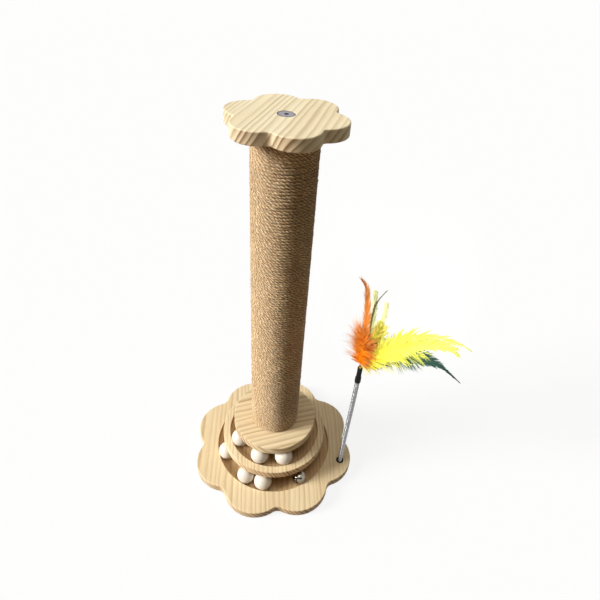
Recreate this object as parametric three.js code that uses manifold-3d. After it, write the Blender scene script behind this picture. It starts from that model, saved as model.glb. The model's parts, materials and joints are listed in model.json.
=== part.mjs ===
// A cat scratching post: a sisal-wound column on three wooden tiers, with balls and a bell that roll
// in ring grooves between the tiers, and a feather toy that stands on a long spring at the base's edge.
// Millimetres, +Z up. The column's axis is x = y = 0 and the floor is z = 0.
import * as THREE from 'three';
import { mergeVertices } from 'three/addons/utils/BufferGeometryUtils.js';
import Module from 'manifold-3d';

const wasm = await Module();
wasm.setup();

const TAU = 2 * Math.PI;
const degrees = THREE.MathUtils.degToRad;

// ---- Driving dimensions -------------------------------------------------------------------------

// Boards: one stock thickness, edges rounded over, ring grooves routed in two of them.
const boardThickness = 15;
const edgeRadius = 1.5;
const grooveDepth = 9;
const grooveWall = 2;            // from a spacer's side to the inner wall of the groove round it
const spacerHeight = 24;
const baseOutline = { lobes: 8, lobeCentre: 90, lobeRadius: 54, notchRadius: 16, phase: 27 };
const topOutline = { lobes: 6, lobeCentre: 41.4, lobeRadius: 28.3, notchRadius: 6.5, phase: 44 };
const trayRadius = 90;
const capRadius = 70;
const lowerSpacerRadius = 68;
const upperSpacerRadius = 46;
const baseGrooveRadius = 101;
const trayGrooveRadius = 78;

// Feet: soft pads glued under the base, one to a lobe and one over the bolt.
const padThickness = 2;
const padRadius = 10;
const padInset = 26;             // from a lobe's tip to the middle of its pad
const centrePadRadius = 28;

// Column: a cardboard tube with a wooden plug in each end, wound with sisal cord.
const postLength = 500;
const tubeRadius = 35.5;
const tubeWall = 3.5;
const plugLength = 30;
const plugClearance = 0.3;
const cordPitch = 4;
const cordThickness = 3.5;
const cordTurns = 9;             // of the turns shown one by one, at each end of the column
const cordBend = 2.5;
const tuckHoleRadius = 3;
const layGap = 0.3;              // between the cord and what it is wound on or laid against

// Fasteners: flat-headed connector bolts M8, each in a flanged insert nut.
const boltRadius = 4;
const boltHeadRadius = 9.8;
const boltHeadThickness = 2.4;
const boltHeadChamfer = 0.6;
const boltHoleClearance = 0.5;
const boltHeadClearance = 0.4;
const boltHeadSink = 0.2;        // head's outer face below the board's
const bottomBoltLength = 110;
const topBoltLength = 36;
const socketAcrossFlats = 5;
const socketDepth = 3.5;
const insertRadius = 6;
const insertLength = 14;
const insertFlangeRadius = 10;
const insertFlangeThickness = 1.5;
const insertClearance = 0.3;

// Balls and bell, loose in the grooves. Angles are about the column, anticlockwise from +X.
const ballRadius = 15;
const ballSeatGap = 0.3;
const ballRimGap = 0.5;
const lowerBallAngles = [-161, -121.5, -100.5];
const upperBallAngles = [-155, -111, -74];
const bellRadius = 12;
const bellBead = 0.4;            // the crimped rim stands this far out of the shell
const bellBeadHeight = 0.8;
const bellWall = 0.6;
const bellSeam = 0.3;
const bellSlotWidth = 1.8;
const bellSlotHoleRadius = 1.6;
const bellSlotReach = 7;         // from the bell's pole axis to each slot's round end
const bellAngle = -58.7;
const bellTilt = -140;           // rolled over, so that its slots look up and to the front
const bellTurn = 25;
const pelletRadius = 2.5;

// Feather toy: a close coil spring standing in a bushed hole in the base.
const toyInset = 18;             // from the tip of a lobe to the middle of the toy's foot
const toyAngle = -17.6;
const toyFacing = -14.8;         // direction of the toy's own X axis, along which its feathers fan out
const toyLean = 3;               // how far the spring's top stands off its foot, along that axis
const bushHoleRadius = 6.7;
const bushHoleDepth = 10;
const bushClearance = 0.2;
const bushWall = 2.6;
const springFootGap = 0.3;
const springWire = 1.2;
const springMeanRadius = 2.85;
const springCurls = 40;
const springStand = 226;         // from the base's top face to the spring's top end
const springTail = 1.4;          // straight run at each end of the wire
const springTailBend = 0.9;
const sleeveClearance = 0.4;
const sleeveWall = 0.8;
const sleeveLap = 11;            // how far the sleeve reaches down over the spring
const sleeveLength = 31;
const sleeveTopRadius = 3.8;
const quillSocketRadius = 2.9;
const quillSocketDepth = 8;
const quillCircleRadius = 1.9;
const quillRadius = 0.5;
const quillSeatGap = 0.3;
const quillRise = 3;             // straight run of each quill above the sleeve

// Facets
const boardSegments = 48;
const postSegments = 32;
const smallSegments = 16;
const ballSegments = 16;
const ballRings = 10;
const cordSteps = 20;
const cordSides = 5;
const springSteps = 8;
const springSides = 5;

// ---- Sizes that follow --------------------------------------------------------------------------

const baseTip = baseOutline.lobeCentre + baseOutline.lobeRadius;
const padCircleRadius = baseTip - padInset;
const toyRadius = baseTip - toyInset;
const baseBottom = padThickness;
const baseTop = baseBottom + boardThickness;
const trayBottom = baseTop + spacerHeight;
const trayTop = trayBottom + boardThickness;
const capBottom = trayTop + spacerHeight;
const capTop = capBottom + boardThickness;
const postTop = capTop + postLength;
const topTop = postTop + boardThickness;
const lowerTrackFloor = baseTop - grooveDepth;
const upperTrackFloor = trayTop - grooveDepth;
const boltHoleRadius = boltRadius + boltHoleClearance;
const headPocketRadius = boltHeadRadius + boltHeadClearance;
const headPocketDepth = boltHeadThickness + boltHeadSink;

// ---- Materials ----------------------------------------------------------------------------------

function finish(color, roughness, metalness = 0) {
  return new THREE.MeshStandardMaterial({ color, roughness, metalness });
}
const pine = finish(0xdcc08f, 0.6);
const paleWood = finish(0xf0e6d0, 0.5);
const cardboard = finish(0xa98a63, 0.9);
const sisal = finish(0xb9945f, 0.95);
const zinc = finish(0xb9bcc0, 0.35, 0.9);
const chrome = finish(0xd8dadc, 0.12, 1);
const springSteel = finish(0xc9ccd0, 0.25, 0.95);
const blackRubber = finish(0x17181a, 0.7);
const padFoam = finish(0x2b2c2e, 0.9);
const orangeFeather = finish(0xd8691a, 0.8);
const orangeDown = finish(0xf58a22, 0.95);
const yellowFeather = finish(0xf4e04a, 0.85);
const paleYellowFeather = finish(0xe4e39a, 0.85);
const greenFeather = finish(0x1f3a2c, 0.6);
const oliveFeather = finish(0x6b6a35, 0.7);

// ---- Making solids ------------------------------------------------------------------------------

// Bare closed geometry with shared corners, its faces turned outwards.
function closed(geometry) {
  geometry.deleteAttribute('normal');
  geometry.deleteAttribute('uv');
  const merged = mergeVertices(geometry, 1e-5);
  const index = merged.index.array;
  const corner = [new THREE.Vector3(), new THREE.Vector3(), new THREE.Vector3()];
  const faces = [];
  let volume = 0;
  for (let i = 0; i < index.length; i += 3) {
    const [a, b, c] = [index[i], index[i + 1], index[i + 2]];
    if (a === b || b === c || c === a) continue;
    faces.push(a, b, c);
    [a, b, c].forEach((n, k) => corner[k].fromBufferAttribute(merged.attributes.position, n));
    volume += corner[0].dot(corner[1].cross(corner[2]));
  }
  merged.setIndex(volume < 0 ? faces.reverse() : faces);
  return merged;
}

function toManifold(geometry) {
  return new wasm.Manifold(new wasm.Mesh({
    numProp: 3,
    vertProperties: new Float32Array(geometry.attributes.position.array),
    triVerts: new Uint32Array(geometry.index.array),
  }));
}

function fromManifold(solid) {
  const mesh = solid.getMesh();
  const geometry = new THREE.BufferGeometry();
  geometry.setAttribute('position', new THREE.BufferAttribute(mesh.vertProperties, 3));
  geometry.setIndex(new THREE.BufferAttribute(mesh.triVerts, 1));
  return geometry;
}

function cut(geometry, ...tools) {
  const solid = tools.reduce((rest, tool) => rest.subtract(toManifold(tool)), toManifold(geometry));
  return fromManifold(solid);
}

// A profile of [radius, height] pairs turned about the Z axis.
function turned(profile, segments = boardSegments) {
  const points = profile.map(([radius, height]) => new THREE.Vector2(radius, height));
  return closed(new THREE.LatheGeometry(points, segments).rotateX(Math.PI / 2));
}

function disc(radius, bottom, top, segments = smallSegments) {
  return turned([[0, bottom], [radius, bottom], [radius, top], [0, top]], segments);
}

function ring(inner, outer, bottom, top, segments = boardSegments) {
  return turned([[inner, bottom], [outer, bottom], [outer, top], [inner, top], [inner, bottom]], segments);
}

function arc(x, y, radius, from, to, steps) {
  const points = [];
  for (let i = 0; i <= steps; i++) {
    const a = from + ((to - from) * i) / steps;
    points.push([x + radius * Math.cos(a), y + radius * Math.sin(a)]);
  }
  return points;
}

// A drum with rounded edges and a hole down the middle.
function roundedDrum(radius, hole, bottom, top, groove = []) {
  const r = edgeRadius;
  return turned([
    [hole, bottom],
    ...arc(radius - r, bottom + r, r, -Math.PI / 2, 0, 1),
    ...arc(radius - r, top - r, r, 0, Math.PI / 2, 2),
    ...groove,
    [hole, top],
    [hole, bottom],
  ]);
}

// Joins rings of points, all of one count, into a closed skin with a flat end at each end.
function loft(rings) {
  const sides = rings[0].length;
  const position = rings.flat().flatMap((p) => [p.x, p.y, p.z]);
  const index = [];
  for (let i = 0; i + 1 < rings.length; i++) {
    for (let k = 0; k < sides; k++) {
      const a = i * sides + k;
      const b = i * sides + ((k + 1) % sides);
      index.push(a, b, b + sides, a, b + sides, a + sides);
    }
  }
  const last = (rings.length - 1) * sides;
  for (let k = 1; k + 1 < sides; k++) {
    index.push(0, k + 1, k, last, last + k, last + k + 1);
  }
  const geometry = new THREE.BufferGeometry();
  geometry.setAttribute('position', new THREE.Float32BufferAttribute(position, 3));
  geometry.setIndex(index);
  return closed(geometry);
}

// A round tube along a list of points. Its section turns with the path, starting from `side`.
function tubeAlong(points, radius, sides, side) {
  const across = side.clone();
  const rings = points.map((point, i) => {
    const along = new THREE.Vector3()
      .subVectors(points[Math.min(i + 1, points.length - 1)], points[Math.max(i - 1, 0)])
      .normalize();
    across.addScaledVector(along, -across.dot(along)).normalize();
    const up = new THREE.Vector3().crossVectors(along, across);
    return Array.from({ length: sides }, (_, k) => {
      const a = (TAU * k) / sides;
      return point.clone()
        .addScaledVector(across, radius * Math.cos(a))
        .addScaledVector(up, radius * Math.sin(a));
    });
  });
  return loft(rings);
}

// Least clear distance between turns that are not next to each other along the wire.
function leastSelfGap(points, radius, apart) {
  let least = Infinity;
  for (let i = 0; i < points.length; i++) {
    for (let j = i + apart; j < points.length; j++) {
      least = Math.min(least, points[i].distanceTo(points[j]));
    }
  }
  return least - 2 * radius;
}

// ---- Boards -------------------------------------------------------------------------------------

// A flower outline: round lobes, and between each two a notch rounded the other way.
function flowerOutline({ lobes, lobeCentre, lobeRadius, notchRadius, phase }, lobeSteps, notchSteps) {
  const half = Math.PI / lobes;
  const reach = lobeRadius + notchRadius;
  const notchCentre = lobeCentre * Math.cos(half) + Math.sqrt(reach ** 2 - (lobeCentre * Math.sin(half)) ** 2);
  const points = [];
  for (let i = 0; i < lobes; i++) {
    const middle = degrees(phase) + 2 * half * i;
    const notch = middle + half;
    const lobeAt = [lobeCentre * Math.cos(middle), lobeCentre * Math.sin(middle)];
    const notchAt = [notchCentre * Math.cos(notch), notchCentre * Math.sin(notch)];
    const toNotch = Math.atan2(notchAt[1] - lobeAt[1], notchAt[0] - lobeAt[0]);
    const spread = Math.atan2(Math.sin(toNotch - middle), Math.cos(toNotch - middle));
    const turn = 2 * (half - spread);
    points.push(...arc(...lobeAt, lobeRadius, middle - spread, middle + spread, lobeSteps).slice(0, -1));
    points.push(...arc(...notchAt, notchRadius, middle + spread + Math.PI,
      middle + spread + Math.PI + turn, notchSteps).slice(0, -1));
  }
  return points.map(([x, y]) => new THREE.Vector2(x, y));
}

function flowerBoard(outline, bottom, lobeSteps, notchSteps) {
  const board = new THREE.ExtrudeGeometry(new THREE.Shape(flowerOutline(outline, lobeSteps, notchSteps)), {
    depth: boardThickness - 2 * edgeRadius,
    bevelThickness: edgeRadius,
    bevelSize: edgeRadius,
    bevelOffset: -edgeRadius,
    bevelSegments: 1,
  });
  return closed(board.translate(0, 0, bottom + edgeRadius));
}

// Where a ball of this radius rolls: its side just clears the groove's outer rim.
function trackRadius(grooveRadius, radius) {
  const halfWidth = radius > grooveDepth ? Math.sqrt(radius ** 2 - (radius - grooveDepth) ** 2) : radius;
  return grooveRadius - halfWidth - ballRimGap;
}

const overcut = 1;               // how far a cutting tool stands out of the face that it cuts
const toyX = toyRadius * Math.cos(degrees(toyAngle));
const toyY = toyRadius * Math.sin(degrees(toyAngle));

const baseBoard = cut(
  flowerBoard(baseOutline, baseBottom, 9, 3),
  ring(lowerSpacerRadius + grooveWall, baseGrooveRadius, lowerTrackFloor, baseTop + overcut),
  disc(boltHoleRadius, baseBottom - overcut, baseTop + overcut),
  disc(headPocketRadius, baseBottom - overcut, baseBottom + headPocketDepth),
  disc(bushHoleRadius, baseTop - bushHoleDepth, baseTop + overcut).translate(toyX, toyY, 0),
);

const trayBoard = roundedDrum(trayRadius, boltHoleRadius, trayBottom, trayTop, [
  [trayGrooveRadius, trayTop],
  [trayGrooveRadius, upperTrackFloor],
  [upperSpacerRadius + grooveWall, upperTrackFloor],
  [upperSpacerRadius + grooveWall, trayTop],
]);

const topBoard = cut(
  flowerBoard(topOutline, postTop, 9, 3),
  disc(boltHoleRadius, postTop - overcut, topTop + overcut),
  disc(headPocketRadius, topTop - headPocketDepth, topTop + overcut),
);

// ---- Column -------------------------------------------------------------------------------------

const cordRadius = cordThickness / 2;
const cordCentreRadius = (tubeRadius + layGap + cordRadius) / Math.cos(Math.PI / cordSteps);
const cordBand = cordTurns * cordPitch + cordThickness + 2 * layGap;

// A quarter bend and the straight run after it, as [way along, way aside] pairs.
function quarterBend(radius, run, steps) {
  const bend = arc(0, radius, radius, -Math.PI / 2, 0, steps).slice(1);
  return [...bend, [radius, radius + run]];
}

// One length of cord wound on the tube, with each end tucked square through the tube's wall.
function windingPath(bottom) {
  const start = bottom + layGap + cordRadius;
  const turns = Array.from({ length: cordTurns * cordSteps + 1 }, (_, i) => {
    const angle = (TAU * i) / cordSteps;
    const height = start + (cordPitch * i) / cordSteps;
    return new THREE.Vector3(cordCentreRadius * Math.cos(angle), cordCentreRadius * Math.sin(angle), height);
  });
  // Both ends lie on the +X side: the tail leaves the turns along Y and runs in along X.
  const tail = (height, way) => quarterBend(cordBend, cordThickness, 3)
    .map(([along, inward]) => new THREE.Vector3(cordCentreRadius - inward, way * along, height));
  return [...tail(start, -1).reverse(), ...turns, ...tail(start + cordTurns * cordPitch, 1)];
}

// The drilled holes that take the cord's two ends.
function tuckHoles(bottom) {
  const heights = [0, cordTurns * cordPitch].map((rise) => bottom + layGap + cordRadius + rise);
  return heights.map((height, i) => {
    const drill = disc(tuckHoleRadius, tubeRadius - tubeWall - overcut, tubeRadius + overcut, 12);
    return drill.rotateY(Math.PI / 2).translate(0, (i ? 1 : -1) * cordBend, height);
  });
}

const bottomWinding = capTop;
const topWinding = postTop - cordBand;
const bottomTurns = windingPath(bottomWinding);
const topTurns = windingPath(topWinding);
const cordGap = leastSelfGap(bottomTurns, cordRadius, cordSteps / 2);
console.log(`least gap between turns of the cord: ${cordGap.toFixed(2)} mm`);

const postTube = cut(
  ring(tubeRadius - tubeWall, tubeRadius, capTop, postTop, postSegments),
  ...tuckHoles(bottomWinding),
  ...tuckHoles(topWinding),
);
const sisalOuterRadius = tubeRadius + layGap + cordPitch;
const sisalWrap = ring(tubeRadius + layGap, sisalOuterRadius, capTop + cordBand, postTop - cordBand,
  postSegments);

// A plug with a stepped bore for its insert nut, whose flange faces the board (z = 0, plug above).
function plug() {
  const outer = tubeRadius - tubeWall - plugClearance;
  const bore = insertRadius + insertClearance;
  const flangeBore = insertFlangeRadius + insertClearance;
  const flangeStep = insertFlangeThickness + insertClearance;
  return turned([
    [flangeBore, 0],
    [outer, 0],
    [outer, plugLength],
    [bore, plugLength],
    [bore, flangeStep],
    [flangeBore, flangeStep],
    [flangeBore, 0],
  ], postSegments);
}

function insertNut() {
  const bore = boltRadius + insertClearance;
  return turned([
    [bore, 0],
    [insertFlangeRadius, 0],
    [insertFlangeRadius, insertFlangeThickness],
    [insertRadius, insertFlangeThickness],
    [insertRadius, insertLength],
    [bore, insertLength],
    [bore, 0],
  ], smallSegments);
}

// A connector bolt, its wide flat head at z = 0 and its shank up, with a hexagon socket in the head.
function connectorBolt(length) {
  const chamfer = boltHeadChamfer;
  const head = turned([
    [0, 0],
    [boltHeadRadius - chamfer, 0],
    [boltHeadRadius, chamfer],
    [boltHeadRadius, boltHeadThickness],
    [boltRadius, boltHeadThickness],
    [boltRadius, boltHeadThickness + length - chamfer],
    [boltRadius - chamfer, boltHeadThickness + length],
    [0, boltHeadThickness + length],
  ], smallSegments);
  const socketRadius = socketAcrossFlats / 2 / Math.cos(Math.PI / 6);
  return cut(head, disc(socketRadius, -overcut, socketDepth, 6));
}

// ---- Balls and bell -----------------------------------------------------------------------------

function ball(radius) {
  return closed(new THREE.SphereGeometry(radius, ballSegments, ballRings));
}

const bellShellRadius = bellRadius - bellBead;
const bellInnerRadius = bellShellRadius - bellWall;

// Half of the bell: a pressed cup above z = 0 with a bead round its rim.
function bellHalf() {
  const rim = bellSeam / 2;
  const outerFrom = Math.asin(bellBeadHeight / bellShellRadius);
  const innerFrom = Math.asin(rim / bellInnerRadius);
  const outer = arc(0, 0, bellShellRadius, outerFrom, Math.PI / 2, 5);
  const inner = arc(0, 0, bellInnerRadius, Math.PI / 2, innerFrom, 5);
  const profile = [
    [bellRadius, rim],
    [bellRadius, bellBeadHeight],
    ...outer.slice(0, -1),
    [0, bellShellRadius],
    [0, bellInnerRadius],
    ...inner.slice(1),
    [bellRadius, rim],
  ];
  return turned(profile, smallSegments);
}

// The slotted half: two crossed slots over the pole, each ending in a round hole.
function slottedBellHalf() {
  const tools = [0, 1].flatMap((n) => {
    const slot = new THREE.BoxGeometry(2 * bellSlotReach, bellSlotWidth, bellRadius);
    const holes = [-1, 1].map((side) =>
      disc(bellSlotHoleRadius, overcut, bellRadius + overcut, 12).translate(side * bellSlotReach, 0, 0));
    const low = bellInnerRadius * Math.cos(Math.asin(bellSlotReach / bellInnerRadius)) - 2 * bellWall;
    slot.translate(0, 0, low + bellRadius / 2);
    return [closed(slot), ...holes].map((tool) => tool.rotateZ((n * Math.PI) / 2));
  });
  return cut(bellHalf(), ...tools).rotateX(Math.PI);
}

// ---- Feather toy --------------------------------------------------------------------------------

const bushHeight = bushHoleDepth - bushClearance;
const bushOuterRadius = bushHoleRadius - bushClearance;
const springOuterRadius = springMeanRadius + springWire / 2;
const springFoot = baseTop - bushHoleDepth + springFootGap;
const springTop = baseTop + springStand;
const sleeveBottom = springTop - sleeveLap;
const sleeveTop = sleeveBottom + sleeveLength;

// The spring's middle line bows towards its lean and ends upright again.
function leanAt(height) {
  const share = THREE.MathUtils.clamp((height - baseTop) / (sleeveBottom - baseTop), 0, 1);
  return toyLean * share * share * (3 - 2 * share);
}

// The wire: a coil of even pitch with an upright tail at each end.
function springPath() {
  const rise = springTail + springTailBend;
  const coilBottom = springFoot + rise;
  const coilTop = springTop - rise;
  const pitch = (coilTop - coilBottom) / springCurls;
  const at = (angle, height) => new THREE.Vector3(
    springMeanRadius * Math.cos(angle) + leanAt(height),
    springMeanRadius * Math.sin(angle),
    height,
  );
  const coil = Array.from({ length: springCurls * springSteps + 1 }, (_, i) =>
    at((TAU * i) / springSteps, coilBottom + (pitch * i) / springSteps));
  const tail = (angle, height, way) => quarterBend(springTailBend, springTail, 2)
    .map(([along, up]) => at(angle + (way * along) / springMeanRadius, height + way * up));
  return [...tail(0, coilBottom, -1).reverse(), ...coil, ...tail(TAU * springCurls, coilTop, 1)];
}

const springPoints = springPath();
const springGap = leastSelfGap(springPoints, springWire / 2, springSteps / 2);
console.log(`least gap between curls of the spring: ${springGap.toFixed(2)} mm`);

const springBush = turned([
  [bushOuterRadius - bushWall, -bushHeight],
  [bushOuterRadius, -bushHeight],
  [bushOuterRadius, 0],
  [bushOuterRadius - bushWall, 0],
  [bushOuterRadius - bushWall, -bushHeight],
], smallSegments);

// A shrunk sleeve: it grips the spring's top from outside and the bunch of quills in a socket.
const sleeveBore = springOuterRadius + sleeveClearance;
const sleeveCeiling = springTop + layGap;
const quillSocketFloor = sleeveTop - quillSocketDepth;
const toySleeve = turned([
  [0, sleeveCeiling],
  [sleeveBore, sleeveCeiling],
  [sleeveBore, sleeveBottom],
  [sleeveBore + sleeveWall, sleeveBottom],
  [sleeveBore + sleeveWall, springTop],
  [sleeveTopRadius, quillSocketFloor],
  [sleeveTopRadius, sleeveTop],
  [quillSocketRadius, sleeveTop],
  [quillSocketRadius, quillSocketFloor],
  [0, quillSocketFloor],
], smallSegments);

// The feathers, from the sleeve's top: x to the toy's right, y to its back, z up. `slot` is the
// quill's place in the bunch, as an angle round it, or null for the middle. `vane` gives the width
// at shares of the length; the spine's points are where the middle of the feather passes.
const feathers = [
  { name: 'orange_hackle', slot: 180, colour: orangeFeather, thickness: 1.2,
    spine: [[-1, -1, 22], [-3, -1, 75], [-7, -2, 121], [-13, -2, 147], [-24, -3, 164]],
    vane: [[0.12, 1], [0.35, 10], [0.65, 12], [0.85, 8], [1, 1]] },
  { name: 'orange_fluff', slot: -135, colour: orangeDown, thickness: 5,
    spine: [[-3, -6, 14], [-5, -8, 38], [-8, -9, 60], [-12, -10, 78]],
    vane: [[0.12, 1], [0.35, 28], [0.6, 34], [0.85, 24], [1, 6]] },
  { name: 'yellow_plume', slot: -90, colour: yellowFeather, thickness: 1.6,
    spine: [[5, -8, 12], [13, -13, 30], [29, -14, 52], [64, -13, 74], [90, -12, 82], [108, -11, 82],
      [121, -11, 74]],
    vane: [[0.08, 1], [0.2, 22], [0.4, 44], [0.6, 42], [0.75, 28], [0.9, 13], [1, 1.5]] },
  { name: 'yellow_hackle', slot: -45, colour: yellowFeather, thickness: 1,
    spine: [[8, -2, 16], [32, -4, 63], [58, -5, 86], [93, -5, 93], [120, -4, 88], [138, -3, 79]],
    vane: [[0.1, 1], [0.3, 12], [0.7, 12], [0.9, 3], [1, 1]] },
  { name: 'green_hackle', slot: 0, colour: greenFeather, thickness: 1.2,
    spine: [[9, 1, 12], [21, 3, 27], [42, 4, 38], [68, 4, 42], [92, 3, 40], [112, 2, 33], [139, 1, 14]],
    vane: [[0.1, 1], [0.25, 12], [0.45, 24], [0.6, 22], [0.75, 12], [0.85, 4], [1, 1]] },
  { name: 'yellow_fluff', slot: 45, colour: yellowFeather, thickness: 5,
    spine: [[4, 7, 14], [11, 11, 36], [17, 12, 58], [20, 12, 80]],
    vane: [[0.12, 1], [0.4, 22], [0.75, 26], [1, 8]] },
  { name: 'yellow_strip_right', slot: 90, colour: paleYellowFeather, thickness: 1,
    spine: [[1, 11, 16], [9, 17, 50], [17, 18, 85], [17.5, 18, 116]],
    vane: [[0.1, 1], [0.4, 6], [1, 7]] },
  { name: 'yellow_strip_left', slot: 135, colour: paleYellowFeather, thickness: 1,
    spine: [[-1, 5, 16], [3, 6, 60], [3, 6, 104], [-1, 6, 142]],
    vane: [[0.1, 1], [0.4, 6], [1, 8]] },
  { name: 'olive_hackle', slot: null, colour: oliveFeather, thickness: 1,
    spine: [[0, 1, 20], [2, 2, 60], [2, 2, 98], [5, 2, 126], [14, 2, 147]],
    vane: [[0.1, 1], [0.3, 4], [0.8, 4], [1, 1]] },
];
const featherStations = 10;

function between(pairs, share) {
  const next = pairs.findIndex(([at]) => at >= share);
  if (next <= 0) return pairs[next < 0 ? pairs.length - 1 : 0][1];
  const [[at0, v0], [at1, v1]] = [pairs[next - 1], pairs[next]];
  return v0 + ((v1 - v0) * (share - at0)) / (at1 - at0);
}

// A quill that stands in the sleeve and flattens into a vane with a thick middle and thin edges.
function featherGeometry({ slot, spine, vane, thickness }) {
  const angle = degrees(slot ?? 0);
  const reach = slot === null ? 0 : quillCircleRadius;
  const quill = (height) => new THREE.Vector3(reach * Math.cos(angle), reach * Math.sin(angle), height);
  const points = [quill(0), quill(quillRise), ...spine.map((point) => new THREE.Vector3(...point))];
  const path = new THREE.CatmullRomCurve3(points, false, 'centripetal');
  const widest = Math.max(...vane.map(([, width]) => width));
  const section = (point, along, width) => {
    const across = new THREE.Vector3().crossVectors(new THREE.Vector3(0, 1, 0), along).normalize();
    const through = new THREE.Vector3().crossVectors(along, across);
    const spread = Math.max(width - 2 * quillRadius, 0) / (widest - 2 * quillRadius);
    const thick = quillRadius + spread * (thickness / 2 - quillRadius);
    return [[1, 0], [0.4, 1], [-0.4, 1], [-1, 0], [-0.4, -1], [0.4, -1]].map(([a, t]) => point.clone()
      .addScaledVector(across, (a * Math.max(width, 2 * quillRadius)) / 2)
      .addScaledVector(through, t * thick));
  };
  const rings = [section(quill(quillSeatGap - quillSocketDepth), new THREE.Vector3(0, 0, 1), 0)];
  for (let i = 0; i <= featherStations; i++) {
    const share = i / featherStations;
    rings.push(section(path.getPointAt(share), path.getTangentAt(share), between(vane, share)));
  }
  return loft(rings);
}

// ---- The object ---------------------------------------------------------------------------------

const post = new THREE.Group();

function add(name, geometry, material, group = post) {
  const mesh = new THREE.Mesh(geometry, material);
  mesh.name = name;
  group.add(mesh);
  return mesh;
}

// Feet, base and the two tiers above it
const lobePitch = 360 / baseOutline.lobes;
for (let i = 0; i < baseOutline.lobes; i++) {
  const angle = degrees(baseOutline.phase + lobePitch * i);
  const pad = add(`foot_pad_${i + 1}`, disc(padRadius, 0, padThickness), padFoam);
  pad.position.set(padCircleRadius * Math.cos(angle), padCircleRadius * Math.sin(angle), 0);
}
add('centre_pad', disc(centrePadRadius, 0, padThickness), padFoam);
add('base_board', baseBoard, pine);
add('lower_spacer', ring(boltHoleRadius, lowerSpacerRadius, baseTop, trayBottom, postSegments), pine);
add('tray_board', trayBoard, pine);
add('upper_spacer', ring(boltHoleRadius, upperSpacerRadius, trayTop, capBottom, postSegments), pine);
add('cap_disc', roundedDrum(capRadius, boltHoleRadius, capBottom, capTop), pine);

// Column and its fasteners
add('post_tube', postTube, cardboard);
add('bottom_plug', plug(), pine).position.z = capTop;
add('bottom_insert_nut', insertNut(), zinc).position.z = capTop + insertClearance / 2;
add('bottom_bolt', connectorBolt(bottomBoltLength), zinc).position.z = baseBottom + boltHeadSink;
const topPlug = add('top_plug', plug(), pine);
topPlug.position.z = postTop;
topPlug.rotation.x = Math.PI;
const topInsert = add('top_insert_nut', insertNut(), zinc);
topInsert.position.z = postTop - insertClearance / 2;
topInsert.rotation.x = Math.PI;
const topBolt = add('top_bolt', connectorBolt(topBoltLength), zinc);
topBolt.position.z = topTop - boltHeadSink;
topBolt.rotation.x = Math.PI;
add('sisal_bottom_turns', tubeAlong(bottomTurns, cordRadius, cordSides, new THREE.Vector3(0, 0, 1)), sisal);
add('sisal_wrap', sisalWrap, sisal);
add('sisal_top_turns', tubeAlong(topTurns, cordRadius, cordSides, new THREE.Vector3(0, 0, 1)), sisal);
add('top_board', topBoard, pine);

// Balls in the two grooves
function place(mesh, radius, angle, height) {
  mesh.position.set(radius * Math.cos(degrees(angle)), radius * Math.sin(degrees(angle)), height);
}
lowerBallAngles.forEach((angle, i) => {
  const height = lowerTrackFloor + ballSeatGap + ballRadius;
  place(add(`lower_ball_${i + 1}`, ball(ballRadius), paleWood), trackRadius(baseGrooveRadius, ballRadius),
    angle, height);
});
upperBallAngles.forEach((angle, i) => {
  const height = upperTrackFloor + ballSeatGap + ballRadius;
  place(add(`upper_ball_${i + 1}`, ball(ballRadius), paleWood), trackRadius(trayGrooveRadius, ballRadius),
    angle, height);
});

// The bell lies rolled over in the lower groove, with its pellet at its lowest point.
const bell = new THREE.Group();
const bellTrack = trackRadius(baseGrooveRadius, bellRadius);
place(bell, bellTrack, bellAngle, lowerTrackFloor + ballSeatGap + bellRadius);
const bellCups = new THREE.Group();
bellCups.rotation.set(degrees(bellTilt), degrees(bellTurn), 0);
add('bell_upper_shell', bellHalf(), chrome, bellCups);
add('bell_lower_shell', slottedBellHalf(), chrome, bellCups);
bell.add(bellCups);
const pellet = add('bell_pellet', closed(new THREE.SphereGeometry(pelletRadius, 12, 8)), zinc, bell);
pellet.position.z = -(bellInnerRadius - pelletRadius - ballSeatGap);
post.add(bell);

// The feather toy, in its own frame on the base
const toy = new THREE.Group();
toy.position.set(toyX, toyY, 0);
toy.rotation.z = degrees(toyFacing);
add('spring_bush', springBush, blackRubber, toy).position.z = baseTop;
add('toy_spring', tubeAlong(springPoints, springWire / 2, springSides, new THREE.Vector3(1, 0, 0)),
  springSteel, toy);
add('toy_sleeve', toySleeve, blackRubber, toy).position.x = toyLean;
for (const feather of feathers) {
  add(feather.name, featherGeometry(feather), feather.colour, toy).position.set(toyLean, 0, sleeveTop);
}
post.add(toy);

export default post;
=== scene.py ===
import json
import math
import bmesh
import bpy
import numpy as np
from mathutils import Matrix, Vector


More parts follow.
